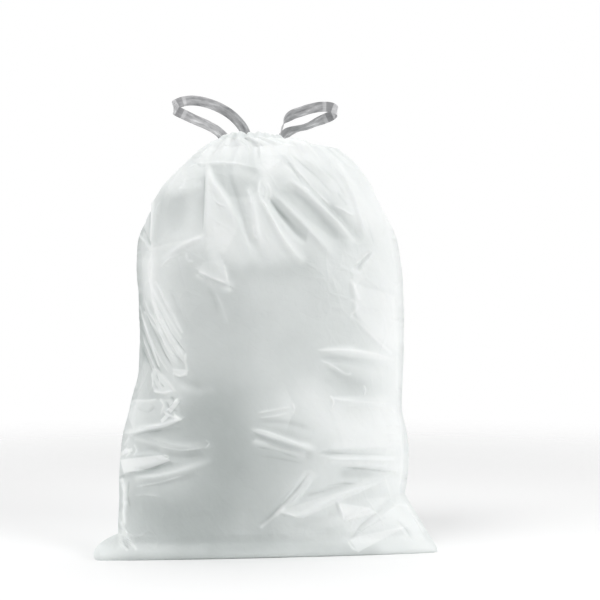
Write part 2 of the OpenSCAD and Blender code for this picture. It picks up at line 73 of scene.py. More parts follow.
# Cross-sections: up as a share of the height, left and right of half the width, front and back of half
# the depth, then the left and right seals' places, shares of half the depth, and the fullness
SECTIONS = np.array([
    (0.000, 0.99, 0.95, -0.83, 0.66, -0.99, -0.52, 1.30),
    (0.008, 1.00, 0.96, -0.86, 0.78, -0.98, -0.50, 1.30),
    (0.023, 1.01, 0.96, -0.84, 0.88, -0.92, -0.46, 1.28),
    (0.046, 1.01, 0.95, -0.80, 0.95, -0.82, -0.40, 1.25),
    (0.085, 1.02, 0.95, -0.84, 1.00, -0.66, -0.32, 1.22),
    (0.122, 1.03, 0.95, -0.89, 1.02, -0.50, -0.22, 1.20),
    (0.160, 1.04, 0.97, -0.93, 1.02, -0.34, -0.12, 1.18),
    (0.226, 1.05, 0.99, -0.98, 1.01, -0.12, -0.02, 1.16),
    (0.283, 1.03, 0.97, -1.00, 1.00, -0.02, 0.00, 1.15),
    (0.340, 0.99, 0.94, -1.00, 1.00, 0.02, 0.02, 1.14),
    (0.425, 0.93, 0.95, -1.00, 1.00, 0.04, 0.02, 1.13),
    (0.528, 0.92, 0.955, -1.00, 1.00, 0.04, 0.00, 1.12),
    (0.623, 0.93, 0.95, -0.98, 0.98, 0.02, 0.00, 1.12),
    (0.698, 0.94, 0.93, -0.95, 0.96, 0.00, 0.00, 1.12),
    (0.774, 0.92, 0.89, -0.89, 0.92, 0.00, 0.00, 1.10),
    (0.830, 0.865, 0.83, -0.82, 0.86, 0.00, 0.00, 1.08),
    (0.887, 0.75, 0.74, -0.72, 0.77, 0.00, 0.00, 1.05),
    (0.934, 0.62, 0.63, -0.61, 0.66, 0.00, 0.00, 1.02),
    (0.966, 0.51, 0.51, -0.51, 0.55, 0.00, 0.00, 1.00)])
SHOULDER_UP = SECTIONS[-1, 0]

# Fineness of the film: columns of each panel and rows of each zone
FRONT_COLUMNS = 600
BACK_COLUMNS = 260
SEAL_CROWD = 0.3
FLOOR_ROWS = 18
FLOOR_UP = 0.046
BODY_ROWS = 430
SHOULDER_ROWS = 36
HEM_ROWS = 44


def smooth(v, start, end):
    t = np.clip((v - start) / (end - start), 0, 1)
    return t * t * (3 - 2 * t)


def bell(d, width):
    return np.exp(-(d / width) ** 2)


def cosd(v):
    return np.cos(np.radians(v))


def sind(v):
    return np.sin(np.radians(v))


def unit(v):
    return v / np.maximum(np.linalg.norm(v, axis=-1, keepdims=True), 1e-12)


def curve(points, share, closed=False):
    """A smooth curve through the points, read at places counted in spans from the first point."""
    points = np.asarray(points, float)
    count = len(points)
    share = np.asarray(share, float)
    i = np.floor(share).astype(int)
    if closed:
        places = [(i + k) % count for k in (-1, 0, 1, 2)]
    else:
        i = np.clip(i, 0, count - 2)
        places = [np.clip(i + k, 0, count - 1) for k in (-1, 0, 1, 2)]
    t = (share - i)[:, None]
    a, b, c, d = (points[p] for p in places)
    return 0.5 * (2 * b + (c - a) * t + (2 * a - 5 * b + 4 * c - d) * t ** 2 + (3 * b - a - 3 * c + d) * t ** 3)


def picture(p):
    """Where points of the bag show in the photograph, in its own points from the top left."""
    span = PICTURE_WIDTH / PICTURE * (p[..., 1] + CAMERA_BACK) / CAMERA_BACK
    return np.stack([PICTURE / 2 + (p[..., 0] - CAMERA_X) / span,
                     PICTURE / 2 - (p[..., 2] - CAMERA_Z) / span], -1)


# Plain form of the bag
def section_at(up):
    ups = SECTIONS[:, 0]
    last = len(ups) - 1
    slopes = np.array([(SECTIONS[min(k + 1, last)] - SECTIONS[max(k - 1, 0)])
                       / (ups[min(k + 1, last)] - ups[max(k - 1, 0)]) for k in range(last + 1)])
    i = np.clip(np.searchsorted(ups, up, side="right") - 1, 0, last - 1)
    step = (ups[i + 1] - ups[i])[:, None]
    t = (up - ups[i])[:, None] / step
    return (SECTIONS[i] * (1 + 2 * t) * (1 - t) ** 2 + slopes[i] * step * t * (1 - t) ** 2
            + SECTIONS[i + 1] * t ** 2 * (3 - 2 * t) - slopes[i + 1] * step * t ** 2 * (1 - t))


def turn_at(column, up):
    """Drawing the mouth shut turns the film: each column drifts to another turn towards the mouth."""
    return column + smooth(up, DRIFT_FROM, 1) * (
        (RIGHT_TURN - LEFT_TURN) / 2 + (RIGHT_TURN + LEFT_TURN) / 2 * cosd(column) + 6 * sind(column))


def ear(z, reach, height, roundness):
    """Reach of a bottom corner at height z. A high roundness makes its end blunt."""
    risen = np.clip(z / height, 0, 1)
    return np.where(z >= height, 0, reach * np.where(z <= 0, FLOOR_TUCK, 1 - risen ** roundness))


# The film is flat against itself along the seal, a share of the turn wide
SEAL_PINCH = 0.045
SEAL_FLAT = 0.75


def body_points(up, column):
    row = section_at(up)[:, :, None]
    up = up[:, None]
    column = column[None, :]
    z = up * BAG_H
    left = -row[:, 1] * HALF_W - ear(z, LEFT_EAR, LEFT_EAR_H, LEFT_EAR_ROUND)
    right = row[:, 2] * HALF_W + ear(z, RIGHT_EAR, RIGHT_EAR_H, RIGHT_EAR_ROUND)
    turn = turn_at(column, up)
    c = cosd(turn)
    s = sind(turn)
    below_neck = 1 - smooth(up, DRIFT_FROM, FIN_TOP)
    fin = SEAL_W * bell(sind(column), 0.07) * np.sign(c) * below_neck
    middle = HALF_D * (row[:, 5] + row[:, 6]) / 2
    seal = middle + HALF_D * (row[:, 6] - row[:, 5]) / 2 * c
    face = HALF_D * np.where(s < 0, row[:, 3], row[:, 4])
    flat = 1 - SEAL_FLAT * bell(sind(column), SEAL_PINCH) * below_neck
    return np.stack([(left + right) / 2 + (right - left) / 2 * c + fin,
                     seal + (face - middle) * np.abs(s) ** row[:, 7] * flat,
                     z + 0 * c], -1)


# Profiles of the hem, as radius past the lip's and height over the lip in millimetres: gathered round the
# tapes, and open at the notches, where the outer wall ends low and the tapes come out
HEM_CLOSED = [(7.5, -6.5), (4.5, -5), (1.8, -2.6), (-1.2, -0.5), (-4, 0), (-9.5, -0.8), (-12, -3.5),
              (-16, -6), (-23, -8.8), (-31, -11), (-40, -11.5)]
HEM_OPEN = [(7.5, -7.5), (7.5, -13.5), (3, -18), (-5, -18), (-9, -10), (-9.6, -2), (-12, -3),
            (-16, -6), (-23, -8.8), (-31, -11), (-40, -11.5)]
NOTCH_EDGE = 5


def notch_share(turn):
    """How far the hem is open at a turn round the mouth, from 0 to 1."""
    share = 0
    for middle, sweep in ((180 - LEFT_TURN, LEFT_NOTCH_SWEEP), (RIGHT_TURN, RIGHT_NOTCH_SWEEP)):
        off = np.abs((turn - middle + 180) % 360 - 180)
        share = share + 1 - smooth(off, sweep / 2 - NOTCH_EDGE, sweep / 2 + NOTCH_EDGE)
    return share


def hem_points(place, column):
    closed = curve(HEM_CLOSED, place)[:, None] * MM
    opened = curve(HEM_OPEN, place)[:, None] * MM
    turn = turn_at(column, 1)[None, :]
    share = notch_share(turn)[..., None]
    profile = closed + (opened - closed) * share
    reach = MOUTH_R + profile[..., 0]
    return np.stack([MOUTH_X + reach * cosd(turn), reach * sind(turn), BAG_H + profile[..., 1]], -1)


def shoulder_points(share, column):
    low = body_points(np.array([SHOULDER_UP]), column)
    top = hem_points(np.array([0.0]), column)
    t = share[:, None, None]
    level = low + (top - low) * t
    level[..., 2] = (low + (top - low) * sind(SHOULDER_ARRIVAL * t) / sind(SHOULDER_ARRIVAL))[..., 2]
    return level


def panel_columns(start, count):
    even = np.linspace(0, 1, count + 1)
    return start + 180 * (even - SEAL_CROWD * np.sin(2 * math.pi * even) / (2 * math.pi))


body_ups = np.concatenate([np.linspace(0, FLOOR_UP, FLOOR_ROWS, endpoint=False),
                           np.linspace(FLOOR_UP, SHOULDER_UP, BODY_ROWS)])
columns = np.concatenate([panel_columns(0, BACK_COLUMNS)[:-1], panel_columns(180, FRONT_COLUMNS)[:-1]])
shoulder_shares = np.linspace(0, 1, SHOULDER_ROWS + 1)[1:-1]
hem_places = np.linspace(0, len(HEM_CLOSED) - 1, HEM_ROWS)
plain = np.concatenate([body_points(body_ups, columns),
                        shoulder_points(shoulder_shares, columns),
                        hem_points(hem_places, columns)])
ROWS = len(plain)
hem_start = ROWS - HEM_ROWS
in_front = (columns >= 180)[None, :]


def outward(grid):
    """Outward directions of a closed grid of rows and columns."""
    round_step = np.roll(grid, -1, axis=1) - np.roll(grid, 1, axis=1)
    up_step = np.gradient(grid, axis=0)
    return unit(np.cross(round_step, up_step))


# Main folds, the same as the part's own. Each is a path, its half width on the left and the right of its
# direction, and its height, in millimetres. A place on the path is [across, up] in per cent.
FRONT_FOLDS = [
    # Flap below the left shoulder, with a straight left edge and a drooping tip
    [[[-43, 91.5], [-43, 83], [-44, 74.5]], 13, 4, 3.2],
    [[[-42, 91], [-36, 86.5], [-27, 81.5], [-19, 76.5]], 5, 9, 3],
    [[[-43, 75], [-58, 73], [-73, 70]], 5, 5, 2.6],
    [[[-61, 86.5], [-62, 81], [-63, 75]], 14, 14, -2.8],
    [[[-69, 84], [-59, 86], [-47, 87.5]], 7, 7, 1.8],
    [[[-38, 71.5], [-37, 68], [-28, 64]], 8, 7, 2.4],
    [[[-47, 65.5], [-37, 63.5], [-25, 62.5]], 5, 5, -1.8],
    # Creases that fan out from the mouth
    [[[-29, 90], [-20, 82], [-12, 74.5], [-2, 67.5]], 7, 7, -3.6],
    [[[-13, 86], [-9, 79.5], [-6, 72.5]], 5, 6, 2.6],
    [[[-4, 83.5], [3, 79], [13, 73], [23, 69]], 4, 6, 3.2],
    [[[-1, 84.5], [8, 80.5], [18, 76.5], [29, 73]], 5, 5, -4],
    [[[3, 85.5], [16, 80.5], [31, 75.5], [46, 70]], 6, 5, 3.2],
    [[[11, 87], [24, 83.5], [39, 78.5], [55, 72]], 8, 8, -3.4],
    [[[13, 88.5], [27, 85], [45, 79.5], [66, 72]], 6, 5, 3],
    [[[35, 84], [48, 80.5], [59, 76.5], [66, 73.5]], 9, 7, -3.4],
    [[[45, 92.5], [57, 87], [65, 80.5], [71, 72.5]], 12, 5, 2.8],
    [[[9, 93], [21, 89.5], [35, 85]], 5, 4, -2],
    [[[23, 94.5], [38, 90.5], [51, 85]], 8, 6, 1.8],
    # Kink on the right shoulder and the edge that runs down from it
    [[[74, 71.5], [68, 69.5], [62, 66.5]], 4, 5, -3.2],
    [[[61, 68], [60, 63.5], [62, 59.5], [62, 56.5], [70, 53], [86, 48]], 14, 4, 3],
    # Folds across the right of the belly
    [[[35, 48], [56, 48], [87, 45.5]], 5, 5, 3],
    [[[35, 46.5], [57, 46], [87, 43.5]], 5, 6, -3],
    [[[38, 45], [54, 41.5], [73, 39]], 9, 9, -1.8],
    [[[44, 37], [66, 36.5], [89, 36]], 4, 7, 2.6],
    [[[-12, 30], [3, 28.5], [21, 26.5], [35, 25]], 5, 4, 3.6],
    [[[-8, 32], [13, 31.5], [34, 29.5]], 5, 5, -2],
    [[[-4, 27], [16, 25.5], [32, 23.5]], 4, 6, -2.6],
    [[[35, 24.5], [57, 24.5], [94, 24]], 4, 5, -3.4],
    [[[42, 23], [67, 22.5], [94, 21.5]], 5, 4, 3.2],
    [[[51, 20], [71, 20], [91, 20.5]], 5, 5, -2.2],
    # Pulls from the right corner
    [[[30, 20.5], [17, 15], [3, 10], [-6, 7]], 5, 5, -3.2],
    [[[31, 19], [23, 15], [13, 11.5]], 4, 4, 2.2],
    [[[8, 11], [23, 10], [41, 13], [63, 16], [89, 19]], 5, 5, 3.4],
    [[[23, 14.5], [41, 15.5], [59, 17]], 4, 4, -2.4],
    [[[23, 9], [37, 9], [49, 10.5]], 6, 7, -2],
    [[[49, 13], [51, 11], [54, 9]], 10, 3, 2.4],
    [[[57, 3], [67, 7], [80, 10], [92, 12.5]], 5, 5, -3],
    # Slanting gathers on the left side
    [[[-79, 84], [-81, 78], [-82, 71.5]], 4, 5, 2.2],
    [[[-82, 71], [-82, 63.5], [-75, 56], [-63, 49.5]], 7, 6, 3],
    [[[-87, 60], [-82, 54], [-75, 48.5]], 4, 4, -2.6],
    [[[-70, 62.5], [-62, 56.5], [-54, 51]], 6, 6, -2],
    [[[-75, 55.5], [-66, 50], [-57, 45]], 4, 4, 2.4],
    [[[-68, 43], [-57, 40.5], [-45, 39]], 6, 6, -2],
    # Crumple and pulls on the lower left
    [[[-61, 37], [-68, 35], [-73, 33]], 4, 4, 2.4],
    [[[-95, 29.5], [-76, 30.5], [-60, 32.5]], 4, 5, 2.8],
    [[[-91, 28], [-72, 26.5], [-54, 26], [-42, 27]], 5, 5, 2.4],
    [[[-88, 25], [-66, 23.5], [-44, 24]], 5, 5, -2.4],
    [[[-100, 22.5], [-84, 23.5], [-69, 24]], 5, 5, 3.2],
    [[[-98, 19.5], [-83, 20.5], [-68, 22.5]], 4, 4, -3.6],
    [[[-100, 18], [-80, 18.5], [-59, 20.5], [-39, 23]], 5, 5, 3.4],
    [[[-94, 16], [-73, 17], [-50, 19]], 6, 7, -2],
    # Puff of film on the right of the mouth
    [[[12, 99], [30, 97]], 14, 14, 3.5]]

BACK_FOLDS = [
    # Creases that fan out from the mouth
    [[[-26, 95], [-48, 83], [-64, 72]], 8, 7, -4],
    [[[-19, 94], [-32, 82], [-40, 70]], 7, 8, 3.4],
    [[[-13, 95], [-17, 82], [-18, 69]], 8, 7, -4],
    [[[-7, 95], [-3, 84], [4, 73]], 7, 8, 3.4],
    [[[-1, 94], [11, 82], [26, 71]], 8, 7, -4],
    [[[7, 94], [26, 83], [48, 73]], 7, 8, 3.4],
    [[[15, 94], [41, 84], [68, 74]], 8, 8, -3.6],
    # Slack folds across the belly
    [[[-92, 52], [-66, 50], [-42, 45]], 7, 9, 3.6],
    [[[-88, 44], [-62, 42], [-36, 37]], 8, 7, -3.2],
    [[[94, 60], [64, 59], [36, 54]], 7, 9, 3.6],
    [[[92, 35], [62, 40], [32, 41]], 9, 7, -3.2],
    [[[-34, 33], [0, 33], [34, 29]], 9, 8, 3.2],
    [[[-92, 27], [-62, 26.5], [-34, 23]], 8, 8, 3.6],
    [[[94, 19], [66, 23.5], [38, 25]], 8, 8, 3.6],
    [[[-64, 11], [-36, 15.5], [-6, 17]], 8, 8, -2.8],
    [[[8, 15], [40, 13.5], [70, 9]], 8, 8, 2.8]]

# Fine folds of the front, drawn over the photograph: points of the path in the picture, height in
# millimetres (negative for a groove), and how far its two sides reach, left and right of its direction
FINE_FRONT_FOLDS = [
    # Knot of small folds beside the mouth, and thin lines that leave it
    ([(261, 178), (259, 190), (262, 201), (269, 211)], 1.3, 2, 2),
    ([(267, 182), (271, 193), (268, 203)], 1.1, 2, 2),
    ([(263, 184), (265, 192), (263, 199)], -0.9, 1.5, 1.5),
    ([(262, 199), (271, 217), (284, 241)], 1.0, 2, 3),
    ([(268, 196), (282, 213), (297, 229)], -0.9, 2, 3),
    ([(279, 153), (292, 168), (305, 187)], -1.0, 2, 4),
    ([(284, 151), (300, 162), (317, 176), (334, 196)], -1.0, 2, 5),
    ([(292, 166), (306, 180), (322, 197), (332, 206)], 1.1, 3, 2),
    ([(303, 187), (308, 191), (306, 193)], 1.2, 3, 3),
    ([(318, 166), (334, 180), (346, 199)], -0.7, 3, 4),
    ([(334, 205), (344, 211), (353, 216)], 1.0, 3, 2),
    ([(336, 192), (344, 202), (346, 206)], -0.6, 2, 3),
    ([(362, 208), (370, 232), (374, 247)], -0.6, 3, 4),
    ([(379, 198), (384, 220), (383, 240)], -0.5, 3, 4),
    ([(372, 250), (362, 259), (355, 266)], 1.0, 2, 3),
    # Flap
    ([(204, 170), (204, 200), (203, 236)], -0.9, 2, 2),
    ([(208, 190), (217, 203), (228, 208)], 0.9, 3, 2),
    ([(209, 190), (213, 198), (219, 206)], -0.7, 2, 2),
    ([(197, 271), (212, 278), (228, 284)], 1.4, 3, 2),
    ([(224, 264), (226, 274), (228, 284)], 1.4, 3, 2),
    ([(207, 286), (214, 300), (218, 316)], -0.3, 4, 5),
    ([(214, 290), (222, 306), (228, 326)], 0.3, 4, 4),
    ([(186, 252), (188, 260), (194, 262)], 0.5, 3, 3),
    # Edge under the gathers
    ([(202, 162), (226, 163), (254, 166)], 1.0, 2, 4),
    ([(190, 160), (200, 166), (206, 164)], -0.7, 2, 2),
    ([(183, 156), (193, 153), (205, 150)], 0.9, 1.5, 1.5),
    ([(185, 161), (194, 158), (204, 157)], -0.8, 1.5, 1.5),
    ([(192, 149), (199, 147), (208, 146)], -0.7, 1.5, 1.5),
    ([(188, 168), (197, 164), (203, 162)], 0.8, 1.5, 1.5),
    ([(240, 141), (246, 146), (250, 153)], -0.6, 2, 2),
    ([(256, 138), (260, 148), (261, 160)], 0.7, 2, 2),
    ([(186, 178), (182, 188), (178, 190)], 0.7, 3, 3),
    ([(245, 201), (252, 203), (258, 201)], 0.3, 2, 2),
    ([(254, 224), (254, 234), (257, 240)], 0.8, 3, 3),
    # Line along the left seal and the crossing pulls
    ([(160, 176), (155, 190), (153, 214), (151, 240)], 1.2, 2, 2),
    ([(157, 182), (151, 206), (149, 238)], -0.9, 2, 2),
    ([(137, 232), (145, 242), (152, 252)], 1.1, 2, 2),
    ([(142, 226), (148, 238), (152, 248)], -1.0, 2, 2),
    ([(160, 268), (168, 260), (180, 254)], 0.7, 3, 3),
    ([(152, 252), (150, 276), (156, 302)], 1.0, 2, 2),
    # Bundle of slanting gathers
    ([(158, 284), (168, 308), (182, 334)], 1.0, 1.3, 1.3),
    ([(154, 290), (164, 316), (178, 342), (187, 354)], -1.2, 1.3, 1.3),
    ([(150, 292), (160, 318), (174, 346), (187, 366)], 1.3, 1.2, 1.2),
    ([(148, 298), (158, 322), (171, 348), (183, 366)], -1.2, 1.2, 1.2),
    ([(144, 298), (155, 324), (168, 350), (179, 367)], 1.3, 1.2, 1.2),
    ([(142, 304), (152, 328), (164, 353), (174, 369)], -1.4, 1.2, 1.2),
    ([(139, 308), (149, 334), (160, 358), (169, 373)], 1.4, 1.2, 1.2),
    ([(139, 320), (148, 344), (156, 364), (163, 376)], -1.6, 1.3, 1.3),
    ([(141, 330), (148, 350), (156, 368), (160, 374)], 1.2, 1.2, 1.2),
    ([(141, 344), (147, 360), (153, 372)], -1.4, 1.5, 1.5),
    ([(166, 316), (174, 334), (186, 352)], 0.9, 1.2, 1.2),
    ([(170, 330), (178, 346), (185, 358)], 0.8, 1, 1),
    ([(172, 344), (178, 356), (184, 364)], -0.9, 1, 1),
    ([(172, 373), (180, 376), (188, 373)], 1.4, 2, 2),
    ([(186, 352), (186, 362), (188, 373)], 1.0, 2, 2),
    ([(153, 391), (163, 393), (174, 391)], 1.8, 2, 2),
    ([(152, 372), (153, 382), (155, 391)], 1.2, 1.5, 1.5),
    ([(158, 374), (160, 383), (163, 391)], 1.2, 1.2, 1.2),
    ([(156, 374), (160, 382), (165, 388)], -1.4, 1, 1.5),
    ([(154, 380), (156, 386), (159, 389)], -0.8, 1, 1.5),
    ([(157, 369), (166, 380), (174, 391)], 1.2, 1.2, 1.2),
    # Crumple below it
    ([(178, 398), (174, 406), (168, 411)], 1.6, 2, 2),
    ([(170, 396), (174, 402), (170, 409)], -1.3, 2, 2),
    ([(160, 398), (164, 406), (161, 416)], 1.3, 2, 2),
    ([(164, 411), (170, 416), (180, 418)], 1.4, 2, 2),
    ([(166, 401), (170, 408), (178, 412)], -1.3, 2, 2),
    ([(132, 400), (146, 401), (158, 399)], 0.8, 2, 3),
    ([(136, 408), (148, 412), (156, 406)], -0.6, 3, 3),
    ([(131, 432), (150, 428), (166, 425), (180, 419)], 1.6, 2, 2),
    ([(130, 436), (150, 432), (164, 430)], -1.0, 2, 3),
    # Pulls on the lower left
    ([(122, 454), (127, 449), (130, 453), (126, 457)], 1.4, 1.5, 1.5),
    ([(134, 444), (137, 450), (136, 457)], 1.0, 2, 2),
    ([(130, 437), (127, 442), (124, 446)], 1.0, 2, 2),
    ([(162, 455), (168, 457), (165, 461)], 1.0, 2, 2),
    ([(205, 440), (209, 444), (204, 449)], 0.9, 2, 2),
    ([(158, 446), (182, 450), (206, 447)], 0.8, 2, 2),
    ([(123, 473), (142, 472), (160, 466)], -1.2, 1.5, 2),
    ([(134, 487), (160, 482), (184, 475)], 0.8, 2, 2),
    ([(134, 496), (148, 495), (162, 497)], 0.5, 3.5, 3),
    ([(122, 476), (124.5, 488), (124, 503)], 1.5, 2, 2),
    ([(125.5, 500), (123.5, 512), (124.5, 526)], 1.3, 1.5, 2),
    ([(129, 480), (128, 494), (130, 508)], -0.9, 2, 2),
    ([(121, 504), (118, 516), (120, 530)], -0.7, 1.5, 1.5),
    ([(124, 528), (130, 540), (136, 549)], 1.3, 2, 2),
    ([(122, 532), (124, 542), (130, 550)], -1.0, 1.5, 1.5),
    ([(119, 532), (120, 542), (124, 550)], 1.1, 1.5, 1.5),
    # Folds across the right of the belly
    ([(316, 350), (342, 349), (372, 353), (394, 361)], 0.9, 2, 3),
    ([(320, 359), (334, 367), (346, 374), (352, 373)], 0.9, 2, 3),
    ([(364, 385), (365, 391), (363, 396)], 1.2, 1.5, 1.5),
    ([(330, 396), (333, 402), (331, 408)], 1.5, 1.5, 2),
    ([(334, 400), (360, 402), (394, 404)], 0.8, 2, 2),
    ([(292, 403), (294, 409), (292, 414)], 1.2, 1.5, 1.5),
    ([(256, 413), (274, 410), (292, 407)], 0.8, 2, 2),
    ([(258, 418), (276, 416), (290, 413)], 0.6, 2, 2),
    ([(250, 429), (264, 431), (284, 438), (306, 447)], 0.7, 2, 2),
    ([(250, 430), (262, 437), (280, 444)], -0.3, 2, 2),
    ([(256, 447), (276, 451), (300, 459)], -0.7, 2, 2),
    ([(258, 456), (280, 459), (304, 464)], -0.6, 2, 2),
    ([(319, 454), (350, 454), (400, 456)], -0.9, 2, 2),
    ([(340, 467), (370, 470), (396, 472)], -1.0, 2, 2),
    ([(388, 470), (396, 471), (394, 474)], 1.0, 1.5, 1.5),
    ([(346, 408), (366, 406), (392, 409)], -0.4, 3, 3),
    # Pulls from the right corner
    ([(310, 472), (296, 491), (280, 508)], -0.4, 2.5, 2.5),
    ([(312, 476), (300, 492), (286, 507)], -0.5, 2, 2),
    ([(279, 512), (290, 514), (301, 518)], 1.0, 2, 2),
    ([(326, 486), (342, 484), (358, 484)], -0.8, 2, 2),
    ([(338, 503), (341, 511), (344, 521)], 1.4, 1.5, 3),
    ([(344, 521), (356, 515), (372, 507)], 0.9, 2, 2),
    ([(348, 541), (352, 548), (358, 551)], 1.3, 2, 2),
    ([(350, 540), (366, 528), (386, 517)], -0.8, 2, 2),
    ([(386, 512), (400, 505), (412, 512)], 0.6, 3, 3),
    ([(404, 502), (413, 516), (424, 534)], 1.2, 3, 3),
    ([(396, 520), (406, 530), (414, 542)], -0.8, 3, 3),
    # Line inside the right seal, and small pulls that cross it
    ([(397, 330), (397, 400), (400, 432), (401, 470), (398, 492)], 1.0, 2, 2),
    ([(401, 250), (403, 330), (401, 400), (404, 432), (405, 470)], -0.9, 2, 2),
    ([(384, 428), (392, 426), (401, 428)], -0.7, 1.5, 1.5),
    ([(382, 435), (391, 434), (402, 436)], 0.7, 1.5, 1.5),
    ([(384, 442), (393, 441), (402, 443)], -0.6, 1.5, 1.5),
    ([(388, 408), (394, 412), (402, 413)], 0.7, 1.5, 1.5),
    ([(390, 282), (396, 286), (401, 284)], 0.6, 1.5, 1.5),
    ([(389, 318), (395, 320), (402, 317)], -0.6, 1.5, 1.5)]

# Where the film of the front is painted greyer (below 0) and whiter: partly the contents seen through it where it
# lies on them,
# partly painted light and painted shade: points of a path in the picture, strength, and the half width of the patch
# on its left and right
FRONT_TONES = [
    # Broad areas: greyer on the left and low in the middle, partly the contents seen through the film and partly
    # painted shade;
    # whiter at the top and on the right, painted light
    ([(150, 214), (148, 300), (156, 400), (142, 500), (138, 580)], -1.3, 105, 40),
    ([(212, 412), (222, 438), (226, 468), (214, 500), (200, 528)], -2.6, 42, 44),
    ([(284, 454), (272, 486), (268, 530)], -1.3, 32, 34),
    ([(140, 504), (172, 514), (216, 512)], -1.0, 22, 20),
    ([(232, 300), (240, 350), (236, 400)], -0.5, 50, 40),
    ([(310, 270), (320, 310), (312, 350)], -0.5, 50, 40),
    ([(384, 200), (392, 270), (390, 340), (388, 420), (394, 480)], 1.9, 30, 26),
    ([(212, 146), (255, 142), (300, 146)], 1.8, 18, 20),
    ([(306, 150), (345, 174), (366, 216)], 1.8, 26, 22),
    ([(312, 400), (342, 430), (396, 432)], 1.6, 24, 20),
    ([(352, 524), (396, 520), (426, 542)], 1.3, 26, 20),
    ([(170, 180), (188, 172), (206, 158)], 1.3, 14, 16),
    ([(170, 236), (204, 236), (262, 244)], 1.0, 36, 30),
    ([(160, 262), (168, 330), (172, 396)], 1.2, 22, 16),
    # Left panel and flap: lighter strips that offset the shading of its grooves, painted highlights along the flap's
    # edges and tip, and painted shade under the edge below the gathers
    ([(184, 182), (190, 208), (186, 234)], 0.7, 16, 16),
    ([(222, 232), (230, 246), (240, 262)], 0.8, 10, 12),
    ([(200, 271), (214, 277), (229, 285)], 1.1, 7, 1.2),
    ([(229, 285), (226, 274), (222, 260)], 0.8, 6, 1.2),
    ([(199, 275), (214, 283), (230, 289)], 1.3, 2, 4),
    ([(207, 164), (230, 164), (256, 168)], -0.6, 1.4, 7),
    ([(208, 167), (218, 188), (230, 202)], 0.8, 1.5, 7),
    ([(150, 250), (170, 244), (202, 238)], 0.7, 1.5, 6),
    ([(203, 236), (184, 246), (164, 257)], 0.8, 4, 3),
    ([(153, 246), (154, 290), (160, 330)], 1.3, 5, 5),
    # Fan below the mouth: painted light along its ridges and under the mouth, painted shade in the lanes between its
    # creases and below it
    ([(264, 196), (268, 172), (270, 150)], 1.3, 8, 8),
    ([(238, 170), (252, 175), (264, 184)], 0.9, 9, 8),
    ([(266, 168), (296, 172), (328, 188)], 1.3, 11, 9),
    ([(240, 268), (272, 270), (304, 268)], -0.7, 16, 16),
    ([(250, 190), (256, 218), (262, 242)], 1.0, 7, 6),
    ([(288, 190), (314, 211), (344, 246)], -0.4, 8, 9),
    ([(332, 212), (348, 224), (362, 242)], -0.5, 8, 8),
    ([(268, 206), (284, 230), (302, 258)], 1.0, 5, 7),
    ([(290, 182), (318, 206), (352, 240)], 1.0, 4, 5),
    # Left side: painted highlights along its thin ridges and gathers, painted shade along its left edge and beside
    # its grooves
    ([(160, 176), (155, 190), (153, 214), (151, 240)], 1.6, 1.6, 1.6),
    ([(148, 262), (152, 296), (164, 326), (178, 352)], 1.3, 8, 9),
    ([(139, 296), (141, 332), (146, 360)], -1.7, 4, 3),
    ([(140, 306), (147, 330), (159, 366)], 1.8, 1.2, 1.2),
    ([(145, 312), (158, 333), (173, 354)], 1.5, 1.2, 1.2),
    ([(153, 284), (165, 310), (181, 338)], 1.4, 1.2, 1.2),
    ([(157, 282), (168, 304), (182, 332)], 1.6, 1.2, 1.2),
    ([(184, 387), (198, 392), (211, 390)], 0.7, 6, 6),
    ([(128, 433), (150, 429), (166, 426), (182, 419)], 1.6, 4, 1.2),
    ([(134, 436), (152, 433), (176, 428)], -0.8, 1.3, 6),
    ([(122, 476), (144, 472), (170, 463)], -1.8, 1.4, 3.5),
    ([(138, 479), (166, 475), (209, 461)], 1.0, 5, 5),
    ([(136, 439), (168, 446), (209, 447)], 0.9, 5, 2.5),
    ([(222, 440), (223, 452), (218, 462)], -0.6, 12, 10),
    ([(122, 480), (124.5, 490), (124, 502)], 2.0, 3, 2.5),
    ([(125, 503), (123.5, 512), (124, 522)], 1.7, 3, 2),
    ([(122, 523), (123.5, 530), (123, 538)], 1.2, 3, 2),
    ([(126, 532), (130, 541), (136, 549)], 1.1, 1.6, 1.6),
    ([(121, 536), (122, 543), (127, 550)], 1.1, 1.6, 1.6),
    # Right side: painted highlights along its creases, lighter strips that offset the shade under its ridges and in
    # its grooves, and a few greyer patches
    ([(351, 280), (355, 290), (358, 299)], 2.2, 1.4, 1.6),
    ([(352, 300), (356, 307), (352, 314)], 1.6, 1.4, 1.6),
    ([(352, 316), (368, 332), (391, 353)], 2.2, 1.4, 1.6),
    ([(338, 446), (354, 448), (376, 444)], 1.4, 8, 8),
    ([(334, 378), (356, 386), (384, 388)], -0.7, 14, 14),
    ([(292, 402), (294, 408), (292, 415)], 0.8, 1.2, 16),
    ([(254, 430), (278, 437), (308, 447)], 0.6, 5, 4),
    ([(256, 441), (280, 448), (304, 454)], 1.6, 3, 5),
    ([(334, 461), (366, 464), (400, 468)], 1.0, 5, 4),
    ([(344, 474), (370, 474), (396, 474)], -0.8, 6, 6),
    ([(307, 478), (292, 495), (277, 514)], 0.8, 3, 3),
    ([(284, 508), (274, 517), (262, 527)], 1.4, 2, 2.5),
    ([(300, 524), (320, 528), (340, 530)], -0.6, 9, 9),
    # Skirt along the bottom fold
    ([(100, 552), (160, 550), (222, 550)], 0.4, 9, 12),
    ([(214, 546), (290, 546), (372, 550)], -1.1, 12, 13)]
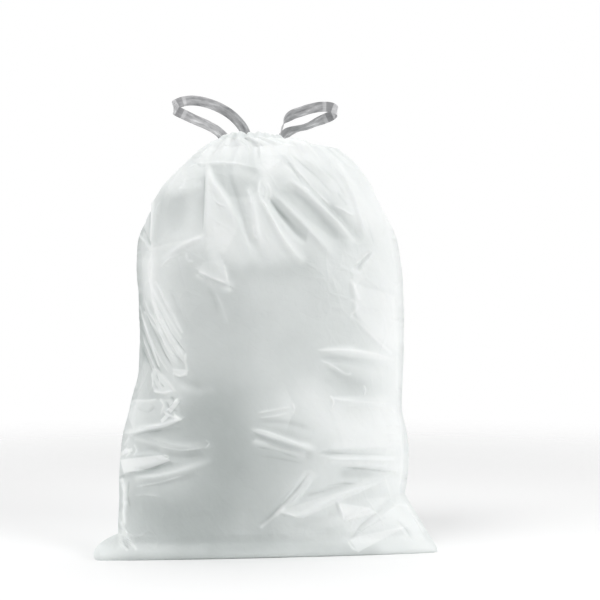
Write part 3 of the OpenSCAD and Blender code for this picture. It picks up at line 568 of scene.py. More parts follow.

# Panes of film between sharp creases, in the same way, each painted an even tone and lifted a little: partly
# overlapping film, partly painted light and painted shade on the facets: the corners of a convex outline, clockwise
# as seen in the picture, strength, and how wide the edge is in millimetres
FRONT_PANES = [
    # Left panel in painted shade, flap and its tip in painted light, and the painted shade beside it
    ([(162, 198), (186, 192), (203, 196), (203, 230), (170, 234)], -0.3, 6),
    ([(206, 162), (229, 198), (238, 228), (224, 254), (207, 250)], 1.0, 3),
    ([(203, 262), (222, 260), (226, 272), (229, 285), (199, 272)], 0.4, 1.6),
    ([(209, 164), (250, 166), (262, 173), (264, 186), (250, 198), (230, 196), (214, 180)], -0.7, 3.5),
    # Lanes between the creases of the fan, in painted shade
    ([(271, 196), (280, 201), (308, 230), (306, 242), (296, 234), (278, 214)], -0.6, 1.6),
    ([(282, 191), (296, 190), (330, 216), (352, 240), (334, 238), (306, 218)], -0.5, 3),
    # Flare at the foot of the slanting gathers, and the small pane above it, in painted light
    ([(152, 368), (158, 369), (170, 382), (176, 391), (165, 394), (154, 391)], 1.0, 1.8),
    ([(173, 369), (188, 370), (187, 375.5), (174, 376)], 1.4, 1),
    # Crumple, the small one beyond it, and the bright pane at the edge: painted highlights
    ([(131, 400), (178, 399), (181, 419), (163, 425), (134, 430), (128, 417)], 0.7, 1.4),
    ([(169, 409), (178, 400), (180, 402), (171, 413)], 2.6, 0.7),
    ([(161, 420), (168, 413), (170, 416), (163, 423)], 2.2, 0.7),
    ([(174, 413), (182, 420), (176, 422)], 2, 0.7),
    ([(120, 452), (132, 448), (133, 451), (121, 456)], 2.2, 0.8),
    ([(120, 460), (162, 455.5), (170, 460.5), (148, 468), (124, 473)], 2.8, 1),
    ([(119, 529), (126, 531), (138, 550), (117, 550)], 0.4, 3),
    # Right side: film beyond a broken crease, in painted light
    ([(351, 283), (394, 296), (398, 352), (372, 335), (355, 314)], 1.1, 2.4),
    ([(352, 268), (374, 252), (396, 290), (356, 284)], 0.5, 4),
    ([(331, 397), (393, 406), (401, 442), (396, 451), (344, 448), (332, 410)], 0.8, 2.6),
    ([(319, 350), (350, 349), (394, 358), (394, 361), (350, 357)], 0.9, 1.4),
    ([(304, 471), (311, 470), (318, 476), (288, 508), (276, 514)], 0.5, 2.4),
    ([(278, 511), (355, 487), (388, 479), (303, 518)], 0.9, 1.2),
    ([(339, 503), (368, 508), (378, 513), (345, 521)], 1.4, 1.1),
    ([(350, 540), (360, 536), (407, 526), (358, 552)], 1.4, 1.1)]

# Fine folds of the back: places in millimetres, across and up, then as in front
FINE_BACK_FOLDS = [
    ([(-64, 498), (-100, 440), (-118, 384)], -1.2, 3, 4),
    ([(-46, 500), (-70, 440), (-82, 372)], 1.0, 3, 4),
    ([(-34, 502), (-44, 440), (-42, 372)], -1.1, 3, 4),
    ([(-22, 504), (-18, 440), (-6, 366)], 1.0, 3, 4),
    ([(-8, 504), (8, 446), (30, 380)], -1.1, 3, 4),
    ([(6, 500), (34, 446), (66, 384)], 1.0, 3, 4),
    ([(20, 500), (60, 450), (100, 396)], -1.1, 3, 4),
    ([(-160, 262), (-112, 250), (-70, 228)], 1.2, 3, 3),
    ([(-158, 240), (-110, 222), (-64, 196)], -1.0, 3, 3),
    ([(160, 306), (112, 296), (66, 276)], 1.2, 3, 3),
    ([(158, 200), (110, 220), (60, 224)], 1.0, 3, 3),
    ([(-60, 186), (-6, 176), (58, 164)], 1.1, 3, 3),
    ([(-56, 166), (0, 154), (60, 142)], -0.9, 3, 3),
    ([(-160, 130), (-112, 124), (-62, 108)], 1.1, 3, 3),
    ([(164, 86), (118, 104), (68, 118)], 1.0, 3, 3),
    ([(-112, 70), (-60, 90), (-12, 98)], -0.9, 3, 3),
    ([(14, 92), (66, 74), (122, 58)], 1.0, 3, 3),
    ([(-150, 96), (-138, 60), (-120, 30)], 1.2, 3, 3),
    ([(150, 80), (136, 50), (116, 26)], 1.2, 3, 3),
    ([(-30, 320), (0, 296), (10, 262)], 0.5, 4, 4),
    ([(40, 340), (64, 310), (60, 280)], -0.5, 4, 4),
    ([(-176, 404), (-166, 372), (-140, 346)], 1.2, 1.5, 1.5),
    ([(-180, 388), (-170, 352), (-142, 322)], -1.2, 1.5, 1.5),
    ([(-182, 372), (-172, 334), (-146, 300)], 1.2, 1.5, 1.5),
    ([(174, 254), (150, 236), (118, 230)], 1.2, 1.5, 1.5),
    ([(176, 246), (150, 226), (124, 220)], -1.0, 1.5, 2),
    ([(120, 234), (112, 222), (118, 214)], 1.2, 1.5, 1.5),
    ([(-178, 150), (-150, 146), (-124, 152)], 1.3, 1.5, 1.5),
    ([(-176, 140), (-150, 136), (-128, 140)], -1.1, 1.5, 2),
    ([(-22, 504), (-26, 470), (-30, 430)], 0.8, 2, 2),
    ([(16, 506), (26, 470), (44, 436)], 0.8, 2, 2)]

# Tones of the back, in the same way, in millimetres: greyer in the middle, whiter along the seals and the top, darker
# strips down the fan, and whiter and greyer strips along one side of its fine folds, which are painted light and
# painted shade
BACK_TONES = [
    ([(30, 330), (0, 220), (16, 90)], -1.0, 84, 90),
    ([(64, 140), (40, 90), (70, 60)], -1.1, 44, 44),
    ([(-30, 300), (-44, 240), (-30, 190)], -0.5, 40, 40),
    ([(-160, 440), (-172, 320), (-160, 150)], 1.3, 36, 36),
    ([(156, 440), (172, 320), (160, 150)], 1.2, 36, 36),
    ([(-64, 500), (0, 500), (64, 500)], 1.5, 30, 40),
    ([(-26, 490), (-52, 440), (-66, 390)], -0.7, 8, 8),
    ([(0, 490), (14, 440), (34, 390)], -0.6, 8, 8),
    ([(24, 490), (74, 440), (116, 396)], -0.7, 9, 9),
    ([(-160, 268), (-112, 256), (-72, 232)], 0.9, 1.5, 9),
    ([(-158, 244), (-110, 226), (-66, 200)], -0.9, 6, 3),
    ([(162, 312), (112, 302), (68, 282)], 0.9, 9, 1.5),
    ([(-60, 190), (-6, 180), (58, 168)], 0.8, 6, 1.5),
    ([(-160, 134), (-112, 128), (-64, 112)], 0.9, 6, 1.5),
    ([(166, 90), (118, 108), (68, 122)], 0.9, 1.5, 6)]

# Corners in millimetres, across and up, the other way round, because up is up here
BACK_PANES = [
    ([(-148, 350), (-136, 318), (-128, 322), (-132, 346)], 1.6, 1),
    ([(96, 212), (150, 216), (172, 236), (120, 226)], 1.0, 2.4),
    ([(-172, 146), (-130, 134), (-112, 142), (-150, 160)], 1.0, 2.4),
    ([(56, 392), (86, 352), (128, 340), (100, 400)], 0.6, 9),
    ([(-130, 420), (-104, 372), (-74, 366), (-84, 440)], 0.6, 9),
    ([(-148, 74), (-140, 44), (-122, 30), (-126, 58)], 1.3, 1.6)]

MAIN_END_FADE = 0.3
NARROW_START = 0.55
FINE_STRENGTH = 1.1 * MM
FOLD_STEPS = 6
CREST_ROUNDING = 0.1
FOLD_FADE = 0.28
FOLD_WOBBLE = 0.25
FOLD_REACH = 2.6
PANE_LIFT = 0.3 * MM


def nearest_on(line, p):
    """Distance of each place from a line of points, the side it lies on and how far along it is."""
    best = np.full(len(p), np.inf)
    side = np.zeros(len(p))
    along = np.zeros(len(p))
    for k in range(len(line) - 1):
        a = line[k]
        run = line[k + 1] - a
        t = np.clip((p - a) @ run / (run @ run), 0, 1)
        off = p - a - t[:, None] * run
        d = np.hypot(off[:, 0], off[:, 1])
        closer = d < best
        best = np.where(closer, d, best)
        side = np.where(closer, run[0] * off[:, 1] - run[1] * off[:, 0], side)
        along = np.where(closer, (k + t) / (len(line) - 1), along)
    return best, side, along


def main_field(places, folds):
    """Sum of the main folds at flat places in metres: rounded ridges that start narrow and die out."""
    total = np.zeros(len(places))
    for path, left, right, height in folds:
        path = np.array(path) / 100 * [HALF_W, BAG_H]
        line = curve(path, np.linspace(0, len(path) - 1, (len(path) - 1) * FOLD_STEPS + 1))
        reach = FOLD_REACH * max(left, right) * MM
        near = np.all((places > line.min(0) - reach) & (places < line.max(0) + reach), axis=1)
        if not near.any():
            continue
        d, side, along = nearest_on(line, places[near])
        width = np.where(side > 0, left, right) * MM * (NARROW_START + (1 - NARROW_START) * along)
        total[near] += height * MM * bell(d, width) * smooth(np.minimum(along, 1 - along), -0.05, MAIN_END_FADE)
    return total


def stroke_field(places, strokes, scale):
    """Sum of strokes at flat places, each highest along its path. scale is millimetres for one unit."""
    total = np.zeros(len(places))
    for index, (path, height, left, right) in enumerate(strokes):
        spans = len(path) - 1
        line = curve(path, np.linspace(0, spans, spans * FOLD_STEPS + 1))
        reach = FOLD_REACH * max(left, right) / scale
        near = np.all((places > line.min(0) - reach) & (places < line.max(0) + reach), axis=1)
        if not near.any():
            continue
        d, side, along = nearest_on(line, places[near])
        q = d * scale / np.where(side > 0, right, left)
        crest = np.exp(-2.2 * (np.sqrt(q ** 2 + CREST_ROUNDING ** 2) - CREST_ROUNDING)) * (1 - smooth(q, 1.4, FOLD_REACH))
        ends = smooth(np.minimum(along, 1 - along), -0.02, FOLD_FADE)
        uneven = 1 + FOLD_WOBBLE * np.sin(along * (9 + index % 5) + index * 1.7)
        total[near] += height * crest * ends * uneven
    return total


def tone_field(places, strokes, scale):
    """Sum of soft patches at flat places, each strongest along its path."""
    total = np.zeros(len(places))
    for path, strength, left, right in strokes:
        spans = len(path) - 1
        line = curve(path, np.linspace(0, spans, spans * FOLD_STEPS + 1))
        reach = FOLD_REACH * max(left, right) / scale
        near = np.all((places > line.min(0) - reach) & (places < line.max(0) + reach), axis=1)
        d, side, along = nearest_on(line, places[near])
        total[near] += strength * bell(d * scale, np.where(side > 0, right, left))
    return total


def pane_field(places, panes, scale):
    """Sum of evenly toned panes at flat places."""
    total = np.zeros(len(places))
    for outline, strength, edge in panes:
        corners = np.array(outline, float)
        inside = np.full(len(places), np.inf)
        for start, run in zip(corners, unit(np.roll(corners, -1, axis=0) - corners)):
            off = places - start
            inside = np.minimum(inside, run[0] * off[:, 1] - run[1] * off[:, 0])
        total += strength * smooth(inside * scale, -edge, edge)
    return total


# Gathers that radiate from the mouth: tight ones at the hem run together into broader ones below it
FINE_GATHERS = 31
BROAD_GATHERS = 14
GATHER = 2.2 * MM
LIP_TUFT = 2.6 * MM


def sharpened(phase):
    """A wave with round crests and narrow valleys."""
    return 1 - 2 * np.abs(np.sin(np.radians(phase) / 2)) ** 1.6


def gathers(column, up):
    drift = 14 * sind(2 * column + 40) + 8 * sind(5 * column)
    fine = sharpened(FINE_GATHERS * column + 3 * drift - 90) * (0.75 + 0.25 * sind(3 * column + 70))
    finest = sharpened(2 * FINE_GATHERS * column + 8 * drift) * (0.5 + 0.5 * sind(7 * column))
    broad = sind(BROAD_GATHERS * column + 2 * drift) * (0.7 + 0.3 * sind(4 * column))
    return GATHER * (smooth(up, 0.88, 0.985) * (0.85 * fine + 0.3 * finest)
                     + broad * smooth(up, 0.74, 0.9) * (1 - smooth(up, 0.94, 1)))


def lip_tufts(column):
    """How far the gathered lip stands up at each column."""
    return LIP_TUFT * (0.35 + 0.65 * sind(7 * column + 20) * sind(3 * column + 50))


# Crinkles of slack film: flat facets between fine creases, and small waves
FACET = 34 * MM
FACET_DEPTH = 0.5 * MM
CRINKLE = 13 * MM
CRINKLE_DEPTH = 0.35 * MM
SEED = (7.3, 2.1, 5.7)
# The middle of the front is drawn tight over the contents, and has few of them
TAUT_SHARE = 0.8
TAUT_ACROSS = 0.6
TAUT_MIDDLE = 0.4
TAUT_UP = 0.38


def crinkle_field(points):
    found = np.empty(len(points))
    for k, (x, y, z) in enumerate(points):
        p = Vector((x * 1.0 + 0.35 * z, y * 1.0, z * 0.75)) / FACET + Vector(SEED)
        bent = p + 0.35 * noise.noise_vector(p * 0.8)
        near = noise.voronoi(bent)[0]
        crease = math.exp(-(near[1] - near[0]) * 9)
        small = noise.fractal(p * (FACET / CRINKLE), 1.0, 2.0, 3)
        found[k] = crease * FACET_DEPTH + small * CRINKLE_DEPTH
    return found


# The bottom hem flares forward in front: a crease this high, and the lip under it
SKIRT_H = 19 * MM
SKIRT_CREASE = 1.2 * MM

# Ripples along the side seals
SEAL_RIPPLE = 3 * MM
SEAL_WAVE = 52 * MM
FINE_RIPPLE = 1.1 * MM
FINE_WAVE = 15 * MM
UNEVEN_WAVE = 97 * MM
FLOOR_FADE = 16 * MM
FLOOR_MIDDLE = (0, -10.4 * MM, 0)

# How much the drawn tones whiten the film; how much each millimetre that it stands out whitens it, which paints light
# onto ridges and shade into grooves; and how much fine crests are painted whiter and fine grooves greyer, as painted
# highlights and painted shade
TONE_SHARE = 0.2
LIFT_PAINTED_LIGHT = 0.03
CREST_PAINTED_HIGHLIGHT = 1.7
GROOVE_PAINTED_SHADE = 1.0


def film_grid():
    """Points of the finished film, and how white its colour is painted, from 0 to 1: greyer where the contents show
    through it, whiter where it stands free, with painted light on ridges and painted shade in grooves.
    """
    in_panel = smooth(np.abs(sind(columns)), 0.02, 0.12)[None, :]
    folded = (np.arange(ROWS) < hem_start)[:, None]
    up = np.minimum(plain[..., 2] / BAG_H, 1)
    up[hem_start:] = 1
    folds = np.zeros(plain.shape[:2])
    tones = np.zeros(plain.shape[:2])
    choose = np.broadcast_to(in_front & folded, folds.shape)
    seen = picture(plain)[choose]
    scale = PICTURE_WIDTH / PICTURE / MM
    panel = plain[..., [0, 2]]
    fine = stroke_field(seen, FINE_FRONT_FOLDS, scale)
    panes = pane_field(seen, FRONT_PANES, scale)
    folds[choose] = main_field(panel[choose], FRONT_FOLDS) + FINE_STRENGTH * fine + PANE_LIFT * panes
    # Drawn tones and panes, with fine crests painted whiter and fine grooves greyer: painted highlights and painted
    # shade
    tones[choose] = tone_field(seen, FRONT_TONES, scale) + panes + fine * np.where(fine > 0, CREST_PAINTED_HIGHLIGHT, GROOVE_PAINTED_SHADE)
    choose = np.broadcast_to(~in_front & folded, folds.shape)
    fine = stroke_field(panel[choose] / MM, FINE_BACK_FOLDS, 1)
    panes = pane_field(panel[choose] / MM, BACK_PANES, 1)
    folds[choose] = main_field(panel[choose], BACK_FOLDS) + FINE_STRENGTH * fine + PANE_LIFT * panes
    # The same for the back: fine crests painted whiter and fine grooves greyer, painted highlights and painted shade
    tones[choose] = (tone_field(panel[choose] / MM, BACK_TONES, 1) + panes
                     + fine * np.where(fine > 0, CREST_PAINTED_HIGHLIGHT, GROOVE_PAINTED_SHADE))
    taut = bell(cosd(columns), TAUT_ACROSS)[None, :] * bell(up - TAUT_MIDDLE, TAUT_UP) * in_front
    crinkles = crinkle_field(plain.reshape(-1, 3)).reshape(folds.shape) * (1 - TAUT_SHARE * taut)
    z = plain[..., 2]
    skirt = SKIRT_CREASE * (bell(z - 5 * MM, 8 * MM) - bell(z - SKIRT_H, 6 * MM)) * in_front
    lift = in_panel * (folds + crinkles * folded) + gathers(columns[None, :], up)
    relief = lift * smooth(z, 0, FLOOR_FADE) + in_panel * skirt
    relief[-1] = 0
    grid = plain + relief[..., None] * outward(plain)
    along_seal = bell(sind(columns), 0.09)[None, :] * smooth(z, 20 * MM, 60 * MM) * folded
    along_seal = along_seal * (1 - smooth(z, 0.8 * BAG_H, 0.9 * BAG_H))
    uneven = 2 * math.pi * z / UNEVEN_WAVE
    grid[..., 1] += along_seal * (SEAL_RIPPLE * np.sin(2 * math.pi * z / SEAL_WAVE)
                                  + FINE_RIPPLE * np.sin(2 * math.pi * z / FINE_WAVE + 2.4 * np.sin(uneven))
                                  * (0.3 + 0.7 * np.sin(1.7 * uneven + 1) ** 2))
    near_lip = smooth(z, BAG_H - 9 * MM, BAG_H - 1 * MM)
    grid[..., 2] = np.maximum(grid[..., 2] + near_lip * lip_tufts(columns)[None, :], 0)
    # Raised film painted whiter and sunken film greyer by its lift: painted light and painted shade
    return grid, 0.5 + 0.5 * np.tanh(2 * (TONE_SHARE * tones + LIFT_PAINTED_LIGHT * lift / MM))


def shaded_mesh(name, points, faces):
    mesh = bpy.data.meshes.new(name)
    mesh.from_pydata(np.asarray(points).tolist(), [], faces)
    mesh.shade_smooth()
    piece = bpy.data.objects.new(name, mesh)
    bpy.context.scene.collection.objects.link(piece)
    return piece


def film_piece(name, first_row, last_row, first_column, last_column):
    """The film between two rows and two columns, shaded as one with its neighbours."""
    rows = np.arange(first_row, last_row + 1)
    chosen = np.arange(first_column, last_column + 1) % len(columns)
    part = np.ix_(rows, chosen)
    width = len(chosen)
    corner = (np.arange(len(rows) - 1)[:, None] * width + np.arange(width - 1)).ravel()
    faces = np.stack([corner, corner + 1, corner + width + 1, corner + width], -1).tolist()
    points = grid[part].reshape(-1, 3)
    facing = outward(grid)[part].reshape(-1, 3)
    white = see_through_and_painted_light[part].ravel()
    if first_row == 0:
        middle = len(points)
        points = np.append(points, [FLOOR_MIDDLE], axis=0)
        facing = np.append(facing, [(0, 0, -1)], axis=0)
        white = np.append(white, 0.5)
        faces += [(middle, c + 1, c) for c in range(width - 1)]
    piece = shaded_mesh(name, points, faces)
    piece.data.normals_split_custom_set_from_vertices(facing.tolist())
    # How white the film is painted: the contents seen through it, with painted light on ridges and painted shade in
    # grooves
    layer = piece.data.attributes.new("see_through_and_painted_light", "FLOAT", "POINT")
    layer.data.foreach_set("value", white.astype(np.float32))
    return piece


# Node helpers
def new_material(name):
    material = bpy.data.materials.new(name)
    material.use_nodes = True
    tree = material.node_tree
    return material, tree, tree.nodes["Principled BSDF"]


def node(tree, kind, **values):
    made = tree.nodes.new(kind)
    for key, value in values.items():
        if key in made.inputs:
            made.inputs[key].default_value = value
        else:
            setattr(made, key, value)
    return made


def ramp(tree, source, stops):
    made = tree.nodes.new("ShaderNodeValToRGB")
    ends = made.color_ramp.elements
    ends[0].position, ends[0].color = stops[0][0], (*stops[0][1], 1)
    ends[1].position, ends[1].color = stops[-1][0], (*stops[-1][1], 1)
    for place, colour in stops[1:-1]:
        ends.new(place).color = (*colour, 1)
    tree.links.new(source, made.inputs["Fac"])
    return made.outputs["Color"]


def film_material():
    material, tree, shader = new_material("film")
    link = tree.links.new
    where = node(tree, "ShaderNodeTexCoord").outputs["Object"]
    see_through_and_painted_light = node(tree, "ShaderNodeAttribute", attribute_name="see_through_and_painted_light").outputs["Fac"]
    cloud = node(tree, "ShaderNodeTexNoise", Scale=9.0, Detail=4.0, Roughness=0.55)
    link(where, cloud.inputs["Vector"])
    mixed = node(tree, "ShaderNodeMath", operation="MULTIPLY_ADD")
    mixed.inputs[1].default_value = 0.3
    link(cloud.outputs["Fac"], mixed.inputs[0])
    lowered = node(tree, "ShaderNodeMath", operation="SUBTRACT")
    lowered.inputs[1].default_value = 0.15
    link(see_through_and_painted_light, lowered.inputs[0])
    link(lowered.outputs[0], mixed.inputs[2])
    # The film's colour: the contents seen through it, with painted light and painted shade, and an uneven cloud
    colour = ramp(tree, mixed.outputs[0], [(0.0, (0.44, 0.476, 0.467)), (0.5, (0.78, 0.812, 0.803)),
                                          (1.0, (0.945, 0.968, 0.962))])
    link(colour, shader.inputs["Base Color"])
    patches = node(tree, "ShaderNodeTexNoise", Scale=22.0, Detail=4.0)
    link(where, patches.inputs["Vector"])
    rough = node(tree, "ShaderNodeMapRange", **{"From Min": 0.3, "From Max": 0.7, "To Min": 0.34, "To Max": 0.5})
    link(patches.outputs["Fac"], rough.inputs["Value"])
    link(rough.outputs["Result"], shader.inputs["Roughness"])
    creases = node(tree, "ShaderNodeTexVoronoi", feature="DISTANCE_TO_EDGE", Scale=95.0)
    bent = node(tree, "ShaderNodeTexNoise", Scale=30.0, Detail=2.0)
    link(where, bent.inputs["Vector"])
    pushed = node(tree, "ShaderNodeVectorMath", operation="MULTIPLY_ADD")
    pushed.inputs[1].default_value = (0.02, 0.02, 0.02)
    link(bent.outputs["Color"], pushed.inputs[0])
    link(where, pushed.inputs[2])
    link(pushed.outputs[0], creases.inputs["Vector"])
    edge = node(tree, "ShaderNodeMapRange", **{"From Min": 0.0, "From Max": 0.12})
    link(creases.outputs["Distance"], edge.inputs["Value"])
    ripple = node(tree, "ShaderNodeTexNoise", Scale=160.0, Detail=3.0)
    link(where, ripple.inputs["Vector"])
    height = node(tree, "ShaderNodeMath", operation="MULTIPLY_ADD")
    height.inputs[1].default_value = 0.5
    link(edge.outputs["Result"], height.inputs[0])
    link(ripple.outputs["Fac"], height.inputs[2])
    bump = node(tree, "ShaderNodeBump", Strength=0.16, Distance=0.0012)
    link(height.outputs[0], bump.inputs["Height"])
    link(bump.outputs["Normal"], shader.inputs["Normal"])
    shader.inputs["Subsurface Weight"].default_value = 0.2
    shader.inputs["Subsurface Radius"].default_value = (0.012, 0.012, 0.011)
    shader.inputs["Subsurface Scale"].default_value = 0.5
    shader.inputs["IOR"].default_value = 1.45
    return material


# Stations of the closed band that the two tapes make, in millimetres from the middle of the lip: where its
# middle is, and the direction across its width. They repeat the part's own.
TAPE_W = 13 * MM
TAPE_T = 0.5 * MM
RUN_R = 34
RUN_Z = -10.2
RUN_STEP = 14
RUN_PAST = 8
LEFT_LOWER = [
    ((-103.5, -0.5, 38.5), (-0.1, -0.62, 0.78)), ((-98.5, -5, 33), (0.35, -0.1, 0.93)),
    ((-88, -6, 27.5), (0.4, 0.1, 0.9)), ((-75, -3.5, 21.5), (0.35, 0.25, 0.9)),
    ((-61, 2, 16), (0.3, 0.3, 0.9)), ((-49, 8.5, 10), (0.25, 0.2, 0.93)),
    ((-41, 13, 3.5), (0.1, 0, 0.95)), ((-35.5, 13, -3.5), (-0.1, -0.2, 0.95)),
    ((-33.7, 8.5, -8.2), (0, -0.2, 0.97))]
RIGHT_UPPER = [
    ((34, -2.8, -7.8), (0, -0.6, 0.8)), ((34.6, 0, -2), (0, -0.93, 0.3)), ((35.5, 1, 5), (0.1, -1, 0.05)),
    ((38, 1, 14), (0.2, -0.95, 0.05)), ((42, 0.5, 22), (-0.1, -0.85, 0.5)),
    ((50, 0, 28.5), (-0.35, -0.4, 0.85)), ((61, -0.5, 32.5), (-0.3, -0.3, 0.9)),
    ((74, -1, 36.5), (-0.2, -0.25, 0.95)), ((88, -1, 39), (-0.1, -0.2, 0.97)),
    ((101, 0.5, 38.5), (0.2, -0.1, 0.97))]
RIGHT_LOWER = [
    ((109.5, 5, 33.5), (0.1, 0.55, 0.8)), ((103, 9.5, 29.5), (-0.35, 0.2, 0.9)),
    ((93, 11, 25), (-0.4, -0.3, 0.85)), ((82, 11.8, 20.3), (-0.35, -0.65, 0.65)),
    ((70, 12.3, 14.8), (-0.2, -0.85, 0.5)), ((56, 13, 11.5), (-0.1, -0.8, 0.55)),
    ((44, 14, 6.8), (-0.2, -0.4, 0.87)), ((36, 15.5, -1.5), (-0.5, 0.1, 0.85)),
    ((31.2, 17.6, -7.2), (-0.25, 0, 0.95))]
LEFT_UPPER = [
    ((-6.4, 34, -7.6), (0.7, 0, 0.7)), ((-9.2, 34, -1), (1, 0, 0.05)), ((-10.5, 33.5, 7), (0.98, 0, 0.15)),
    ((-14.5, 33, 16), (0.85, 0, 0.5)), ((-22, 31.5, 25.5), (0.75, 0, 0.66)), ((-33, 29, 35), (0.6, 0, 0.8)),
    ((-47, 25, 42.5), (0.4, 0, 0.92)), ((-62, 20, 47.5), (0.2, 0, 0.98)), ((-77, 14.5, 49.5), (0.02, 0, 1)),
    ((-89.5, 9, 48), (-0.12, 0, 0.99)), ((-98.5, 4, 44), (-0.38, -0.05, 0.92))]


def hidden_run(start, end):
    steps = math.ceil((end - start) / RUN_STEP)
    turns = [start + (end - start) * k / steps for k in range(steps + 1)]
    return [((RUN_R * cosd(t), RUN_R * sind(t), RUN_Z), (0, 0, 1)) for t in turns]


left_notch = (180 - LEFT_TURN - LEFT_NOTCH_SWEEP / 2, 180 - LEFT_TURN + LEFT_NOTCH_SWEEP / 2)
right_notch = (RIGHT_TURN - RIGHT_NOTCH_SWEEP / 2, RIGHT_TURN + RIGHT_NOTCH_SWEEP / 2)
front_run = hidden_run(left_notch[1] - RUN_PAST, 360 + right_notch[0] + RUN_PAST)
back_run = hidden_run(right_notch[1] - RUN_PAST, left_notch[0] + RUN_PAST)
front_part = LEFT_LOWER + front_run + RIGHT_UPPER
band = front_part + RIGHT_LOWER + back_run + LEFT_UPPER
band_middles = np.array([place for place, lean in band]) * MM + (MOUTH_X, 0, BAG_H)
band_leans = np.array([lean for place, lean in band], float)

TAPE_STEPS = 12
TAPE_ACROSS = 12
# Buckles across the tape, long creases along it, and how far its edges curl
BUCKLE = 0.5 * MM
LONG_CREASE = 0.35 * MM
EDGE_CURL = 0.35 * MM
# The painted bands of light and shade across the tape at each tip reach this far along from the weld
PAINTED_TIP_BANDS = 23 * MM


def tape(name, first, last, material):
    """One drawtape, from one tip's weld to the other's."""
    shares = np.linspace(first, last, (last - first) * TAPE_STEPS + 1)
    middle = curve(band_middles, shares, closed=True)
    lean = curve(band_leans, shares, closed=True)
    forward = unit(np.gradient(middle, axis=0))
    across = unit(lean - (lean * forward).sum(1, keepdims=True) * forward)
    through = unit(np.cross(forward, across))
    along = np.concatenate([[0], np.cumsum(np.linalg.norm(np.diff(middle, axis=0), axis=1))])
    side = np.linspace(-1, 1, TAPE_ACROSS + 1)
    lift = np.empty((len(shares), len(side)))
    for k, a in enumerate(along):
        for c, s in enumerate(side):
            buckle = noise.noise(Vector((a * 110, s * 0.7 + first, 3.1)))
            crease = noise.noise(Vector((a * 14, s * 4.5, 8.4 + first)))
            lift[k, c] = BUCKLE * buckle + LONG_CREASE * (1 - 2 * abs(crease)) + EDGE_CURL * s * s
    free = np.minimum(along, along[-1] - along)
    lift *= smooth(free, 0, 4 * MM)[:, None]
    hidden = smooth(np.abs(shares - (first + last) / 2), 0, 3)[:, None]
    lift *= 0.15 + 0.85 * hidden
    centre = middle[:, None] + side[None, :, None] * across[:, None] * TAPE_W / 2 + lift[..., None] * through[:, None]
    thick = through[:, None] * TAPE_T / 2
    upper = centre + thick
    lower = (centre - thick)[:, ::-1]
    rings = np.concatenate([upper, lower], axis=1)
    width = rings.shape[1]
    faces = [(k * width + c, k * width + (c + 1) % width, (k + 1) * width + (c + 1) % width, (k + 1) * width + c)
             for k in range(len(shares) - 1) for c in range(width)]
    end = (len(shares) - 1) * width
    for c in range(TAPE_ACROSS):
        faces.append((c, width - 1 - c, width - 2 - c, c + 1))
        faces.append((end + c, end + c + 1, end + width - 2 - c, end + width - 1 - c))
    piece = shaded_mesh(name, rings.reshape(-1, 3), faces)
    mark = np.repeat(free, width)
    spread = np.tile(np.concatenate([side, side[::-1]]), len(shares))
    for label, values in (("from_weld", mark), ("along", np.repeat(along, width)), ("across", spread)):
        layer = piece.data.attributes.new(label, "FLOAT", "POINT")
        layer.data.foreach_set("value", values.astype(np.float32))
    piece.data.materials.append(material)
    return piece


def tape_material():
    material, tree, shader = new_material("drawtape")
    link = tree.links.new
    along = node(tree, "ShaderNodeAttribute", attribute_name="along").outputs["Fac"]
    across = node(tree, "ShaderNodeAttribute", attribute_name="across").outputs["Fac"]
    weld = node(tree, "ShaderNodeAttribute", attribute_name="from_weld").outputs["Fac"]
    place = node(tree, "ShaderNodeCombineXYZ")
    link(along, place.inputs["X"])
    link(across, place.inputs["Y"])
    stretched = node(tree, "ShaderNodeVectorMath", operation="MULTIPLY")
    stretched.inputs[1].default_value = (40, 1.3, 1)
    link(place.outputs[0], stretched.inputs[0])
    streaks = node(tree, "ShaderNodeTexNoise", Scale=1.0, Detail=4.0, Roughness=0.6)
    link(stretched.outputs[0], streaks.inputs["Vector"])
    colour = ramp(tree, streaks.outputs["Fac"], [(0.32, (0.23, 0.235, 0.245)), (0.46, (0.42, 0.42, 0.43)),
                                                (0.56, (0.52, 0.52, 0.53)), (0.68, (0.74, 0.74, 0.75))])
    # Lighter and darker bands across the tape near each weld: painted reflection and painted shade
    tip_share = node(tree, "ShaderNodeMapRange", **{"From Min": 0.0, "From Max": PAINTED_TIP_BANDS})
    link(weld, tip_share.inputs["Value"])
    tip_painted_light_and_shade = ramp(tree, tip_share.outputs["Result"], [(0.05, (0.8, 0.8, 0.81)), (0.09, (0.6, 0.6, 0.61)),
                                                  (0.36, (0.66, 0.66, 0.67)), (0.42, (0.28, 0.28, 0.29)),
                                                  (0.72, (0.34, 0.34, 0.35)), (0.77, (0.64, 0.64, 0.65))])
    beside = node(tree, "ShaderNodeMapRange", **{"From Min": 0.9, "From Max": 1.0, "To Min": 0.8, "To Max": 0.0})
    link(tip_share.outputs["Result"], beside.inputs["Value"])
    mix = node(tree, "ShaderNodeMix", data_type="RGBA")
    link(beside.outputs["Result"], mix.inputs["Factor"])
    link(colour, mix.inputs["A"])
    link(tip_painted_light_and_shade, mix.inputs["B"])
    link(mix.outputs["Result"], shader.inputs["Base Color"])
    fine = node(tree, "ShaderNodeTexNoise", Scale=4.0, Detail=5.0)
    link(stretched.outputs[0], fine.inputs["Vector"])
    bump = node(tree, "ShaderNodeBump", Strength=0.35, Distance=0.0006)
    link(fine.outputs["Fac"], bump.inputs["Height"])
    link(bump.outputs["Normal"], shader.inputs["Normal"])
    shader.inputs["Roughness"].default_value = 0.3
    shader.inputs["IOR"].default_value = 1.5
    return material


# Stage: a pale floor that fades out into the bright surroundings
FLOOR_R = 2.0
FLOOR_RINGS = 12
FLOOR_TURNS = 64
FADE_FROM = 0.5
FADE_TO = 1.9


